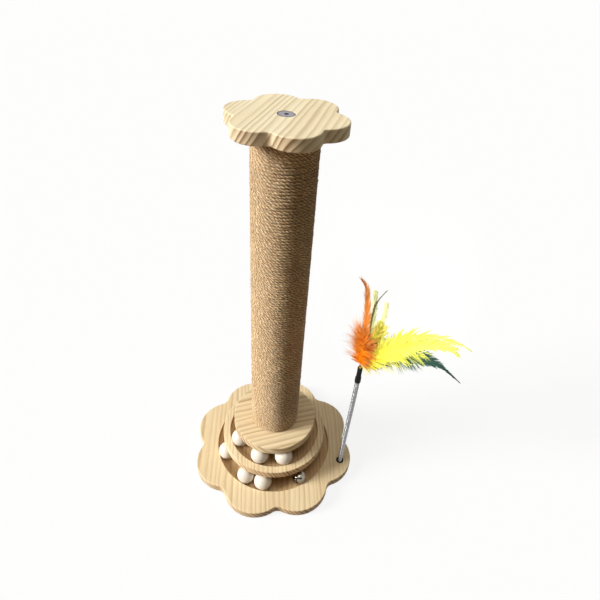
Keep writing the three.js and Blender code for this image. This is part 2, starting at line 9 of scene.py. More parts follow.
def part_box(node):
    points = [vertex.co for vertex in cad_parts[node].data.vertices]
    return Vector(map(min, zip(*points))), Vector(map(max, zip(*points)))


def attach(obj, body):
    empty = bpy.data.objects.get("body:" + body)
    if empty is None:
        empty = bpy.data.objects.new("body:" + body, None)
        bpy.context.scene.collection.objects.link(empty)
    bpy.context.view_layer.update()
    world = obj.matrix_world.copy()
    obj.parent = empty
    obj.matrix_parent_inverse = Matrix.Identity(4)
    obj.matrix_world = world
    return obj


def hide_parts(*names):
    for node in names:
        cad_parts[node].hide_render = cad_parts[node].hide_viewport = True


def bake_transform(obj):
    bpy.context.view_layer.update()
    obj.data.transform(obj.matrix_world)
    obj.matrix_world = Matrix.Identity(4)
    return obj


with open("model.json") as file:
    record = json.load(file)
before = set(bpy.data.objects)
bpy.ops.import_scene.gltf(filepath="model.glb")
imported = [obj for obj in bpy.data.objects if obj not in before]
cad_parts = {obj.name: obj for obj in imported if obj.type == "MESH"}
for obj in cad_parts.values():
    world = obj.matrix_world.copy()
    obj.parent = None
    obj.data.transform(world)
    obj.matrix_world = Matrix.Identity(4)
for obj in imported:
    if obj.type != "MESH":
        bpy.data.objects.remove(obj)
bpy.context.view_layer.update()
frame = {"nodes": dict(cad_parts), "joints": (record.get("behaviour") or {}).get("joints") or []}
scene = bpy.context.scene
mm = 0.001
TAU = 2 * math.pi

# ---- Camera -------------------------------------------------------------------------------------
# The post was photographed from half a metre away, from a little above its top board, with a
# wide lens that looks down at it and is rolled by a few degrees.

picture_side = 600
focal_pixels = 474.01
sensor = 36
camera_place = Vector((0, -0.51166, 0.77840))
yaw, pitch, roll = 0.0568, 0.6902, 0.0749
ahead = Vector((math.sin(yaw) * math.cos(pitch), math.cos(yaw) * math.cos(pitch), -math.sin(pitch)))
level = Vector((math.cos(yaw), -math.sin(yaw), 0))
upright = level.cross(ahead)
right = level * math.cos(roll) + upright * math.sin(roll)
top = upright * math.cos(roll) - level * math.sin(roll)
camera = bpy.data.objects.new("camera", bpy.data.cameras.new("camera"))
camera.data.sensor_width = sensor
camera.data.lens = sensor * focal_pixels / picture_side
camera.data.clip_start = 0.02
camera.matrix_world = Matrix.Translation(camera_place) @ Matrix((right, top, -ahead)).transposed().to_4x4()
scene.collection.objects.link(camera)
scene.camera = camera
scene.view_settings.view_transform = "Standard"

# ---- Studio -------------------------------------------------------------------------------------
# A large soft light stands at the post's left, a weak one hangs overhead and a small one lights
# the toy; the far side falls into warm shade. Floor and surroundings look white, but reflect little.


def node(tree, kind, sockets=(), **settings):
    """A shader node with its settings, and its input sockets linked or set."""
    made = tree.nodes.new("ShaderNode" + kind)
    for key, value in settings.items():
        setattr(made, key, value)
    for key, value in dict(sockets).items():
        if isinstance(value, bpy.types.NodeSocket):
            tree.links.new(value, made.inputs[key])
        else:
            made.inputs[key].default_value = value
    return made


def math_node(tree, operation, a, b=0.0, clamp=False):
    return node(tree, "Math", {0: a, 1: b}, operation=operation, use_clamp=clamp).outputs[0]


def mix(tree, factor, a, b, blend_type="MIX"):
    return node(tree, "Mix", {"Factor": factor, "A": a, "B": b}, data_type="RGBA",
                blend_type=blend_type).outputs["Result"]


def multiply(tree, a, b):
    return mix(tree, 1.0, a, b, "MULTIPLY")


def seen_white(tree, camera_share=1.0):
    """How far a ray meets plain white: the camera's own rays by a share, and fully a ray that
    comes by way of a reflection or through something clear."""
    path = node(tree, "LightPath").outputs
    share = math_node(tree, "MULTIPLY", path["Is Camera Ray"], camera_share)
    for kind in ("Is Glossy Ray", "Is Transmission Ray"):
        share = math_node(tree, "MAXIMUM", share, path[kind])
    return share


def mesh_from(name, bm):
    """A mesh from a finished bmesh, which is used up."""
    mesh = bpy.data.meshes.new(name)
    bm.to_mesh(mesh)
    bm.free()
    return mesh


def link_object(name, mesh, material=None):
    if material:
        mesh.materials.append(material)
    made = bpy.data.objects.new(name, mesh)
    scene.collection.objects.link(made)
    return made


def soft_sun(name, bearing, height, strength, spread, colour=(1, 1, 1)):
    """A lamp that shines from `bearing` degrees round Z and `height` degrees up."""
    lamp = bpy.data.objects.new(name, bpy.data.lights.new(name, "SUN"))
    lamp.data.energy = strength
    lamp.data.color = colour
    lamp.data.angle = math.radians(spread)
    b, h = math.radians(bearing), math.radians(height)
    towards = Vector((math.cos(b) * math.cos(h), math.sin(b) * math.cos(h), math.sin(h)))
    lamp.rotation_euler = towards.to_track_quat("Z", "Y").to_euler()
    scene.collection.objects.link(lamp)


soft_sun("key", bearing=192, height=26, strength=4.5, spread=22)
soft_sun("overhead", bearing=240, height=86, strength=1.0, spread=40, colour=(1, 0.95, 0.88))

toy_lamp = bpy.data.objects.new("toy_lamp", bpy.data.lights.new("toy_lamp", "SPOT"))
toy_lamp.data.energy = 26
toy_lamp.data.spot_size = math.radians(21)
toy_lamp.data.spot_blend = 0.3
toy_lamp.data.shadow_soft_size = 0.04
toy_lamp_place, toy_lamp_aim = Vector((0.10, -0.60, 0.68)), Vector((0.205, -0.06, 0.375))
toy_lamp.matrix_world = (Matrix.Translation(toy_lamp_place)
                         @ (toy_lamp_place - toy_lamp_aim).to_track_quat("Z", "Y").to_matrix().to_4x4())
scene.collection.objects.link(toy_lamp)

surroundings = bpy.data.worlds.new("surroundings")
surroundings.use_nodes = True
scene.world = surroundings
sky = surroundings.node_tree
white = node(sky, "Background", {"Color": (1, 1, 1, 1), "Strength": 1.0}).outputs[0]
fill = node(sky, "Background", {"Color": (1, 0.84, 0.66, 1), "Strength": 0.05}).outputs[0]
both = node(sky, "MixShader", {0: seen_white(sky), 1: fill, 2: white})
sky.links.new(both.outputs[0], sky.nodes["World Output"].inputs["Surface"])

paper = bpy.data.materials.new("white_paper")
paper.use_nodes = True
tree = paper.node_tree
tree.nodes.remove(tree.nodes["Principled BSDF"])
from_camera = node(tree, "LightPath").outputs["Is Camera Ray"]
shade = mix(tree, from_camera, (0.24, 0.20, 0.15, 1), (0.92, 0.92, 0.92, 1))
matt = node(tree, "BsdfDiffuse", {"Color": shade}).outputs[0]
glow = node(tree, "Emission", {"Color": (1, 1, 1, 1), "Strength": 1.0}).outputs[0]
both = node(tree, "MixShader", {0: seen_white(tree, 0.86), 1: matt, 2: glow})
tree.links.new(both.outputs[0], tree.nodes["Material Output"].inputs["Surface"])

bm = bmesh.new()
bmesh.ops.create_circle(bm, cap_ends=True, segments=96, radius=14)
floor = link_object("paper_floor", mesh_from("paper_floor", bm), paper)

# ---- Foot pads ----------------------------------------------------------------------------------
# Discs of black foam rubber, punched from sheet and glued under the lobes of the base, with a
# larger one in the middle that covers the bolt's head.

SHARP = math.radians(40)


def place(bm, name, material, body, slot, *nodes):
    """Turns a finished bmesh into a piece that rides on a body in place of its nodes."""
    bmesh.ops.remove_doubles(bm, verts=bm.verts, dist=1e-6)
    bmesh.ops.recalc_face_normals(bm, faces=bm.faces)
    for face in bm.faces:
        face.smooth = True
    for edge in bm.edges:
        edge.smooth = edge.calc_face_angle(0) < SHARP
    piece = link_object(name, mesh_from(name, bm), material)
    even = piece.modifiers.new("even_light", "WEIGHTED_NORMAL")
    even.keep_sharp = True
    dress(piece, body, slot, *nodes)


def dress(piece, body, slot, *nodes):
    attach(piece, body)
    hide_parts(*nodes)


def soften(corners, steps=4):
    """A profile of (radius, height, rounding) corners, each with its own rounding."""
    profile = [corners[0][:2]]
    for before, corner, after in zip(corners, corners[1:], corners[2:]):
        at = Vector(corner[:2])
        back, on = Vector(before[:2]) - at, Vector(after[:2]) - at
        cut = min(corner[2] if len(corner) > 2 else 0, 0.48 * back.length, 0.48 * on.length)
        if cut == 0:
            profile.append(corner[:2])
            continue
        start, end = at + back.normalized() * cut, at + on.normalized() * cut
        for n in range(steps + 1):
            t = n / steps
            profile.append(tuple((1 - t) ** 2 * start + 2 * t * (1 - t) * at + t * t * end))
    return profile + [corners[-1][:2]]


def turn(bm, profile, steps=96):
    """Spins a chain of (radius, height) points once round the Z axis."""
    verts = [bm.verts.new((radius, 0, height)) for radius, height in profile]
    edges = [bm.edges.new(pair) for pair in zip(verts, verts[1:])]
    bmesh.ops.spin(bm, geom=verts + edges, cent=(0, 0, 0), axis=(0, 0, 1), angle=TAU, steps=steps,
                   use_merge=True, use_duplicate=False)


def new_material(name, roughness, specular=0.5, metallic=0.0):
    """A principled material, its node tree and its shader."""
    material = bpy.data.materials.new(name)
    material.use_nodes = True
    shader = material.node_tree.nodes["Principled BSDF"]
    shader.inputs["Roughness"].default_value = roughness
    shader.inputs["Specular IOR Level"].default_value = specular
    shader.inputs["Metallic"].default_value = metallic
    return material, material.node_tree, shader


def ramp(tree, fac, stops):
    """A colour ramp over (position, colour) stops."""
    made = node(tree, "ValToRGB", {"Fac": fac})
    elements = made.color_ramp.elements
    while len(elements) < len(stops):
        elements.new(0.5)
    for element, (position, colour) in zip(elements, stops):
        element.position = position
        element.color = (*colour, 1)
    return made.outputs["Color"]


def greys(tree, fac, stops):
    return ramp(tree, fac, [(position, (level,) * 3) for position, level in stops])


def bump(tree, shader, height, strength, distance):
    made = node(tree, "Bump", {"Height": height, "Strength": strength, "Distance": distance})
    tree.links.new(made.outputs["Normal"], shader.inputs["Normal"])


def on_object(tree):
    return node(tree, "TexCoord").outputs["Object"]


def mottle(tree, scale, detail):
    """Noise in the piece's own space."""
    return node(tree, "TexNoise", {"Vector": on_object(tree), "Scale": scale, "Detail": detail}).outputs[0]


foam, tree, shader = new_material("pad_foam", 0.92, 0.25)
cells = node(tree, "TexVoronoi", {"Vector": on_object(tree), "Scale": 2600}).outputs["Distance"]
tree.links.new(ramp(tree, cells, [(0.0, (0.012, 0.012, 0.013)), (0.7, (0.045, 0.045, 0.048))]),
               shader.inputs["Base Color"])
bump(tree, shader, cells, 0.5, 0.2 * mm)

pad_rounding = 0.5 * mm
pad_names = [f"foot_pad_{n}" for n in range(1, 9)] + ["centre_pad"]
for name in pad_names:
    low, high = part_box(name)
    radius = (high.x - low.x) / 2
    bm = bmesh.new()
    turn(bm, soften([
        (0, low.z),
        (radius, low.z, pad_rounding),
        (radius, high.z, pad_rounding),
        (0, high.z),
    ]), 48)
    bmesh.ops.translate(bm, verts=bm.verts, vec=((low.x + high.x) / 2, (low.y + high.y) / 2, 0))
    place(bm, name.replace("pad", "foam"), foam, "post", "pad_foam", name)

# ---- Base board ---------------------------------------------------------------------------------
# A flower of eight lobes sawn from one pine board, its rim rounded over and sanded. A router cut
# the ball track as a wide ring groove; a hole at the right takes the toy's bush.


def pine(name, grain, heart, ring, light=(0.905, 0.738, 0.465), dark=(0.545, 0.372, 0.185), tilt=0.0,
         bold=1.0, shaded_groove=None):
    """Sanded pine. The grain runs at `grain` degrees from X, and the log's heart lies at `heart`,
    as (across the grain, height), so that growth rings cut the faces as they do on a sawn board.
    A groove given as (inner radius, outer radius, rim height) is darkened below its rim as painted shade."""
    material, tree, shader = new_material(name, 0.58, 0.28)
    places = node(tree, "TexCoord").outputs
    turned = node(tree, "Mapping", {"Vector": places["Object"],
                                    "Rotation": (0, tilt, -math.radians(grain))}).outputs[0]
    facing = node(tree, "Mapping", {"Vector": places["Normal"], "Rotation": (0, 0, -math.radians(grain))},
                  vector_type="VECTOR").outputs[0]
    across, up = node(tree, "SeparateXYZ", {0: turned}).outputs[1:3]

    def grain_noise(scales, detail=2.0, rough=0.5):
        stretched = node(tree, "Mapping", {"Vector": turned, "Scale": scales}).outputs[0]
        return node(tree, "TexNoise", {"Vector": stretched, "Scale": 1.0, "Detail": detail,
                                       "Roughness": rough}).outputs[0]

    def wander(scales, reach):
        return math_node(tree, "MULTIPLY", math_node(tree, "SUBTRACT", grain_noise(scales), 0.5), reach)

    sway, waver = wander((3.2, 9, 9), 26 * mm), wander((14, 45, 45), 3.2 * mm)
    off_heart = math_node(tree, "ADD", math_node(tree, "SUBTRACT", across, heart[0]),
                          math_node(tree, "ADD", sway, waver))
    above_heart = math_node(tree, "SUBTRACT", up, heart[1])
    spoke = node(tree, "CombineXYZ", {1: off_heart, 2: above_heart}).outputs[0]
    radius = node(tree, "VectorMath", {0: spoke}, operation="LENGTH").outputs["Value"]
    uneven = node(tree, "TexNoise", {"W": radius, "Scale": 55.0, "Detail": 1.0},
                  noise_dimensions="1D").outputs[0]
    years = math_node(tree, "ADD", math_node(tree, "DIVIDE", radius, ring),
                      math_node(tree, "MULTIPLY", uneven, 1.2))
    season = math_node(tree, "FRACT", years)
    year = math_node(tree, "FLOOR", years)
    weight = node(tree, "TexWhiteNoise", {"W": year}, noise_dimensions="1D").outputs["Value"]
    weight = math_node(tree, "ADD", math_node(tree, "MULTIPLY", weight, 0.62), 0.38)
    late = greys(tree, season, [(0.0, 0.0), (0.24, 0.02), (0.50, 0.30), (0.72, 0.86), (0.86, 1.0),
                                (1.0, 0.0)])
    line = math_node(tree, "MULTIPLY", math_node(tree, "MULTIPLY", late, weight), bold, clamp=True)

    shades = [(0.30, (0.93, 0.90, 0.86)), (0.52, (1, 1, 1)), (0.72, (1.03, 1.05, 1.10))]
    pale = ramp(tree, grain_noise((6, 22, 22), 3.0),
                [(at, tuple(a * b for a, b in zip(light, shade))) for at, shade in shades])
    ringed = mix(tree, line, pale, (*dark, 1))
    fibre = grain_noise((38, 1500, 1500), 3.0, 0.6)
    fibred = multiply(tree, ringed, ramp(tree, fibre, [(0.28, (0.86, 0.83, 0.78)), (0.55, (1, 1, 1))]))
    pores = greys(tree, grain_noise((120, 2600, 2600), 1.0), [(0.66, 0.0), (0.74, 1.0)])
    specked = mix(tree, math_node(tree, "MULTIPLY", pores, 0.28), fibred, (0.42, 0.25, 0.11, 1))
    end_on = math_node(tree, "ABSOLUTE", node(tree, "SeparateXYZ", {0: facing}).outputs[0])
    end_line = math_node(tree, "MULTIPLY", line, 1.5, clamp=True)
    end_tint = mix(tree, end_line, (0.90, 0.79, 0.74, 1), (0.34, 0.25, 0.18, 1))
    tinted = mix(tree, math_node(tree, "POWER", end_on, 2.0), specked, end_tint, "MULTIPLY")
    # Painted shade: inside the groove, below its rim, the wood is multiplied darker and browner.
    if shaded_groove:
        x, y, z = node(tree, "SeparateXYZ", {0: places["Object"]}).outputs
        flat = node(tree, "CombineXYZ", {0: x, 1: y}).outputs[0]
        out = node(tree, "VectorMath", {0: flat}, operation="LENGTH").outputs["Value"]
        inner, outer, rim = shaded_groove
        inside = math_node(tree, "MULTIPLY", math_node(tree, "GREATER_THAN", out, inner - 0.5 * mm),
                           math_node(tree, "LESS_THAN", out, outer + 0.5 * mm))
        sunk = math_node(tree, "MULTIPLY", math_node(tree, "SUBTRACT", rim - 0.3 * mm, z), 500, clamp=True)
        groove_shaded = multiply(tree, tinted, (0.74, 0.64, 0.54, 1))
        tinted = mix(tree, math_node(tree, "MULTIPLY", inside, sunk), tinted, groove_shaded)
    tree.links.new(tinted, shader.inputs["Base Color"])
    tree.links.new(greys(tree, fibre, [(0.3, 0.52), (0.7, 0.66)]), shader.inputs["Roughness"])
    relief = math_node(tree, "ADD", fibre, math_node(tree, "MULTIPLY", line, 0.5))
    bump(tree, shader, relief, 0.35, 0.12 * mm)
    return material


def flower_rim(bm, flower, inset, height, lobe_steps=26, notch_steps=10):
    """One loop of edges round the flower, `inset` inside its widest outline. Each lobe is an arc
    about its own centre, and each notch an arc that turns the other way."""
    before = set(bm.edges)
    half = math.pi / flower["lobes"]
    middle = math.radians(flower["phase"])
    centre = flower["centre"]
    reach = flower["lobe"] + flower["notch"]
    notch_centre = centre * math.cos(half) + math.sqrt(reach ** 2 - (centre * math.sin(half)) ** 2)
    spread = math.atan2(notch_centre * math.sin(half), notch_centre * math.cos(half) - centre)
    lobe = flower["lobe"] - inset
    start = Matrix.Rotation(middle, 3, "Z") @ Vector(
        (centre + lobe * math.cos(spread), -lobe * math.sin(spread), height))
    vert = bm.verts.new(start)
    for n in range(flower["lobes"]):
        lobe_way = middle + 2 * half * n
        for distance, way, angle, steps in (
            (centre, lobe_way, 2 * spread, lobe_steps),
            (notch_centre, lobe_way + half, 2 * (half - spread), notch_steps),
        ):
            about = (distance * math.cos(way), distance * math.sin(way), height)
            swept = bmesh.ops.spin(bm, geom=[vert], cent=about, axis=(0, 0, 1), angle=angle, steps=steps)
            vert = next(part for part in swept["geom_last"] if isinstance(part, bmesh.types.BMVert))
    loop = set(bm.edges) - before
    bmesh.ops.remove_doubles(bm, verts=list({vert for edge in loop for vert in edge.verts}), dist=1e-6)
    return [edge for edge in bm.edges if edge not in before]


def flower_side(bm, flower, bottom, top, rounding, steps=4):
    """The rim's side wall, rounded over at its bottom and top edges."""
    levels = []
    for n in range(steps + 1):
        a = math.pi / 2 * n / steps
        levels.append((rounding * (1 - math.sin(a)), bottom + rounding * (1 - math.cos(a))))
    levels += [(inset, top + bottom - height) for inset, height in reversed(levels)]
    below = flower_rim(bm, flower, *levels[0])
    for inset, height in levels[1:]:
        above = flower_rim(bm, flower, inset, height)
        bmesh.ops.bridge_loops(bm, edges=below + above)
        below = above


def close_flat(bm, height):
    """Fills the flat face at this height between all the open edges that lie in it."""
    rims = [edge for edge in bm.edges
            if edge.is_boundary and all(abs(vert.co.z - height) < 1e-6 for vert in edge.verts)]
    bmesh.ops.triangle_fill(bm, edges=rims, use_beauty=True)


edge_rounding = 1.5 * mm
groove_rounding = 0.7 * mm
bolt_hole = 4.5 * mm
head_pocket = 10.2 * mm
head_pocket_depth = 2.6 * mm
groove_outer = 101 * mm
groove_inner = 70 * mm
groove_depth = 9 * mm
bush_hole = 6.7 * mm
bush_hole_depth = 10 * mm
base_flower = {"lobes": 8, "centre": 90 * mm, "lobe": 54 * mm, "notch": 16 * mm, "phase": 27}
bush_low, bush_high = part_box("spring_bush")
toy_foot = (bush_low + bush_high) / 2
base_bottom, base_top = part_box("base_board")[0].z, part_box("base_board")[1].z

base_pine = pine("base_pine", grain=93, heart=(0.300, -0.170), ring=6.8 * mm, bold=0.72,
                 shaded_groove=(groove_inner, groove_outer, base_top))
bm = bmesh.new()
flower_side(bm, base_flower, base_bottom, base_top, edge_rounding)
turn(bm, soften([
    (groove_outer + 2 * mm, base_top),
    (groove_outer, base_top, groove_rounding),
    (groove_outer, base_top - groove_depth, groove_rounding),
    (groove_inner, base_top - groove_depth, groove_rounding),
    (groove_inner, base_top, groove_rounding),
    (bolt_hole, base_top),
    (bolt_hole, base_bottom + head_pocket_depth),
    (head_pocket, base_bottom + head_pocket_depth),
    (head_pocket, base_bottom),
]), 160)
hole = bmesh.new()
turn(hole, soften([
    (bush_hole + 1 * mm, base_top),
    (bush_hole, base_top, 0.4 * mm),
    (bush_hole, base_top - bush_hole_depth),
    (0, base_top - bush_hole_depth),
]), 48)
bmesh.ops.translate(hole, verts=hole.verts, vec=(toy_foot.x, toy_foot.y, 0))
hole_mesh = mesh_from("bush_hole", hole)
bm.from_mesh(hole_mesh)
bpy.data.meshes.remove(hole_mesh)
close_flat(bm, base_bottom)
close_flat(bm, base_top)
place(bm, "flower_base", base_pine, "post", "pine", "base_board")

# ---- Spacers, tray and cap ----------------------------------------------------------------------
# Turned pine discs, stacked on the base and drawn together by one long bolt. The tray has a ball
# track of its own, and the cap's overhang keeps its balls in.


def drum(name, corners, material, cad_node, steps=160):
    bm = bmesh.new()
    turn(bm, soften(corners), steps)
    place(bm, name, material, "post", "pine", cad_node)


def plain_drum(name, cad_node, material, rounding):
    low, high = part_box(cad_node)
    drum(name, [
        (bolt_hole, low.z),
        (high.x, low.z, rounding),
        (high.x, high.z, rounding),
        (bolt_hole, high.z),
        (bolt_hole, low.z),
    ], material, cad_node)


tray_groove_outer = 78 * mm
tray_groove_inner = 48 * mm
tray_low, tray_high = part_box("tray_board")
spacer_pine = pine("spacer_pine", grain=60, heart=(0.050, -0.160), ring=5.5 * mm, bold=0.8,
                   dark=(0.46, 0.31, 0.14), light=(0.75, 0.58, 0.33))
tray_pine = pine("tray_pine", grain=94, heart=(0.260, -0.110), ring=5.2 * mm, bold=0.8,
                 shaded_groove=(tray_groove_inner, tray_groove_outer, tray_high.z))
cap_pine = pine("cap_pine", grain=17.5, heart=(0.250, -0.150), ring=7.4 * mm, dark=(0.56, 0.38, 0.18))
spacer_rounding = 0.5 * mm
plain_drum("lower_drum", "lower_spacer", spacer_pine, spacer_rounding)
plain_drum("upper_drum", "upper_spacer", spacer_pine, spacer_rounding)
plain_drum("cap", "cap_disc", cap_pine, edge_rounding)
drum("tray", [
    (bolt_hole, tray_low.z),
    (tray_high.x, tray_low.z, edge_rounding),
    (tray_high.x, tray_high.z, edge_rounding),
    (tray_groove_outer, tray_high.z, groove_rounding),
    (tray_groove_outer, tray_high.z - groove_depth, groove_rounding),
    (tray_groove_inner, tray_high.z - groove_depth, groove_rounding),
    (tray_groove_inner, tray_high.z, groove_rounding),
    (bolt_hole, tray_high.z),
    (bolt_hole, tray_low.z),
], tray_pine, "tray_board")

# ---- Tube, plugs and inner fasteners ------------------------------------------------------------
# The column's core is a spiral-wound cardboard tube. A turned pine plug closes each end and holds
# a zinc-plated insert nut; the long bolt comes up through the tiers into the lower one.


def coat(material, *cad_nodes):
    for name in cad_nodes:
        frame["nodes"][name].material_slots[0].material = material


cardboard, tree, shader = new_material("cardboard", 0.9, 0.2)
flecks = mottle(tree, 420.0, 4.0)
wound = node(tree, "TexWave", {"Vector": on_object(tree), "Scale": 6.0, "Distortion": 0.4},
             bands_direction="Z").outputs[1]
tree.links.new(ramp(tree, flecks, [(0.3, (0.28, 0.18, 0.10)), (0.7, (0.42, 0.29, 0.17))]),
               shader.inputs["Base Color"])
bump(tree, shader, math_node(tree, "ADD", flecks, wound), 0.25, 0.2 * mm)
coat(cardboard, "post_tube")

plug_pine = pine("plug_pine", grain=0, heart=(0.020, -0.5), ring=4 * mm, tilt=math.pi / 2)
coat(plug_pine, "bottom_plug", "top_plug")

zinc, tree, shader = new_material("zinc", 0.34, metallic=1.0)
parts = node(tree, "SeparateXYZ", {0: on_object(tree)}).outputs
from_axis = math_node(tree, "SQRT", math_node(tree, "ADD", math_node(tree, "POWER", parts[0], 2.0),
                                              math_node(tree, "POWER", parts[1], 2.0)))
turning_marks = node(tree, "TexNoise", {"W": from_axis, "Scale": 5200.0, "Detail": 2.0},
                     noise_dimensions="1D").outputs[0]
plated = ramp(tree, mottle(tree, 260.0, 3.0), [(0.3, (0.24, 0.23, 0.25)), (0.7, (0.33, 0.32, 0.34))])
# Painted shade: from about 8.3 mm out from the axis the zinc is darkened, a dark ring round the bolt
# head's rim.
painted_rim_shade = ramp(tree, math_node(tree, "MULTIPLY", from_axis, 50),
               [(0.415, (1, 1, 1)), (0.455, (0.38, 0.36, 0.37))])
tree.links.new(multiply(tree, plated, painted_rim_shade), shader.inputs["Base Color"])
tree.links.new(greys(tree, turning_marks, [(0.3, 0.26), (0.7, 0.44)]), shader.inputs["Roughness"])
bump(tree, shader, turning_marks, 0.22, 0.05 * mm)
coat(zinc, "bottom_insert_nut", "top_insert_nut", "bottom_bolt")

# ---- Sisal cord ---------------------------------------------------------------------------------
# Some thirty metres of three-strand sisal cord are wound on the tube under tension, turn against
# turn, with each end tucked through the tube's wall. Loose fibres stand out all over it.

sisal, tree, shader = new_material("sisal", 0.88, 0.18)
shader.inputs["Sheen Weight"].default_value = 1.0
shader.inputs["Sheen Roughness"].default_value = 0.45
shader.inputs["Sheen Tint"].default_value = (1.0, 0.97, 0.90, 1)
lay = node(tree, "Attribute", attribute_name="lay").outputs["Vector"]


def lay_noise(scales, detail):
    stretched = node(tree, "Mapping", {"Vector": lay, "Scale": scales}).outputs[0]
    return node(tree, "TexNoise", {"Vector": stretched, "Scale": 1.0, "Detail": detail,
                                   "Roughness": 0.6}).outputs[0]


threads = lay_noise((420, 1700, 1700), 3.0)
batches = lay_noise((330, 640, 640), 2.0)
patches = mottle(tree, 26.0, 3.0)
yarn = ramp(tree, threads, [(0.26, (0.300, 0.155, 0.048)), (0.43, (0.660, 0.435, 0.205)),
                            (0.58, (0.955, 0.785, 0.525)), (0.74, (1.0, 0.950, 0.780))])
tone = ramp(tree, batches, [(0.34, (0.58, 0.53, 0.46)), (0.62, (1.18, 1.17, 1.15))])
patch = ramp(tree, patches, [(0.3, (0.90, 0.88, 0.85)), (0.7, (1.05, 1.05, 1.05))])
depth = node(tree, "Attribute", attribute_name="depth").outputs["Fac"]
# Painted shade: the valleys between the strands, where depth is low, are darkened almost to black.
shadow = ramp(tree, depth, [(0.0, (0.12, 0.07, 0.03)), (0.42, (0.62, 0.48, 0.35)), (0.80, (1, 1, 1))])
patched = multiply(tree, multiply(tree, yarn, tone), patch)
tree.links.new(multiply(tree, patched, shadow), shader.inputs["Base Color"])
bump(tree, shader, threads, 0.8, 0.35 * mm)

tube_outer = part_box("post_tube")[1].x
column_bottom, column_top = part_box("post_tube")[0].z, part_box("post_tube")[1].z
cord_pitch = 4.0 * mm
cord_radius = 1.98 * mm
cord_gap = 0.3 * mm
tuck_depth = 5 * mm
lay_length = 16 * mm
lay_steps = 15
strand_sides = 5
cord_circle = tube_outer + cord_gap + cord_radius
cord_turns = round((column_top - column_bottom) / cord_pitch) - 1
turn_steps = round(TAU * cord_circle / lay_length * lay_steps)
tuck_steps = round(turn_steps / 14)
chance = np.random.default_rng(7)


def wandering(count, spacing, amount):
    """A smooth random sequence: a value every `spacing` steps, joined by a gentle curve."""
    knots = chance.normal(0, amount, count // spacing + 3)
    at = np.arange(count) / spacing
    low = at.astype(int)
    t = at - low
    t = t * t * (3 - 2 * t)
    return knots[low] * (1 - t) + knots[low + 1] * t


cord_steps = cord_turns * turn_steps + 1
step = np.arange(cord_steps)
angle = step * (TAU / turn_steps)
height = column_bottom + cord_radius + step * (cord_pitch / turn_steps)
height += wandering(cord_steps, 30, 0.10 * mm)
height = np.clip(height, column_bottom + cord_radius, column_top - cord_radius)
circle = cord_circle + wandering(cord_steps, 10, 0.12 * mm)
fatness = 1 + wandering(cord_steps, 6, 0.08)
clear = np.clip(np.minimum(step, step[::-1]) / tuck_steps, 0, 1)
circle -= (1 - clear * clear * (3 - 2 * clear)) * tuck_depth
twist = -step * (TAU / lay_steps) + wandering(cord_steps, 60, 2.2)
twist += wandering(cord_steps, 9, 0.5)
run = step * (TAU * cord_circle / turn_steps)


def cord_piece(name, first, last, *cad_nodes):
    """A run of the wound cord: rings of a three-lobed section that turns as the strands do."""
    steps = np.arange(first, last + 1)
    sides = 3 * strand_sides
    around = np.arange(sides) * (TAU / sides)
    lobe = np.abs(np.cos(1.5 * around))
    reach = cord_radius * (0.62 + 0.40 * lobe ** 0.8)
    facing = around[None, :] + twist[steps][:, None]
    spread = reach[None, :] * fatness[steps][:, None]
    out = circle[steps][:, None] + spread * np.cos(facing)
    up = height[steps][:, None] + spread * np.sin(facing)
    turned = angle[steps][:, None]
    rings = np.stack([out * np.cos(turned), out * np.sin(turned), up], axis=2)
    ends = rings[[0, -1]].mean(axis=1)
    verts = np.concatenate([rings.reshape(-1, 3), ends])
    ring, side = np.meshgrid(np.arange(len(steps) - 1), np.arange(sides), indexing="ij")
    a = (ring * sides + side).ravel()
    b = (ring * sides + (side + 1) % sides).ravel()
    faces = np.stack([a, a + sides, b + sides, b], axis=1).tolist()
    last_ring = (len(steps) - 1) * sides
    start, end = len(verts) - 2, len(verts) - 1
    for k in range(sides):
        after = (k + 1) % sides
        faces.append((start, k, after))
        faces.append((end, last_ring + after, last_ring + k))
    mesh = bpy.data.meshes.new(name)
    mesh.from_pydata(verts.tolist(), [], faces)
    own = cord_radius * np.ones_like(facing)
    fibre_place = np.stack([np.broadcast_to(run[steps][:, None], own.shape), own * np.cos(around),
                            own * np.sin(around)], axis=2).reshape(-1, 3)
    fibre_place = np.concatenate([fibre_place, fibre_place[:2]])
    mesh.attributes.new("lay", "FLOAT_VECTOR", "POINT").data.foreach_set("vector", fibre_place.ravel())
    hollow = np.concatenate([np.broadcast_to(lobe, own.shape).ravel(), lobe[:2]])
    mesh.attributes.new("depth", "FLOAT", "POINT").data.foreach_set("value", hollow.astype(np.float32))
    mesh.shade_smooth()
    dress(link_object(name, mesh, sisal), "post", "sisal", *cad_nodes)


end_turns = 9
middle_pieces = 5
middle_turns = np.linspace(end_turns, cord_turns - end_turns, middle_pieces + 1).round().astype(int)
cord_piece("cord_bottom_turns", 0, end_turns * turn_steps, "sisal_bottom_turns")
for n, (first, last) in enumerate(zip(middle_turns, middle_turns[1:])):
    cord_piece(f"cord_middle_{n + 1}", first * turn_steps, last * turn_steps, "sisal_wrap")
cord_piece("cord_top_turns", (cord_turns - end_turns) * turn_steps, cord_steps - 1, "sisal_top_turns")


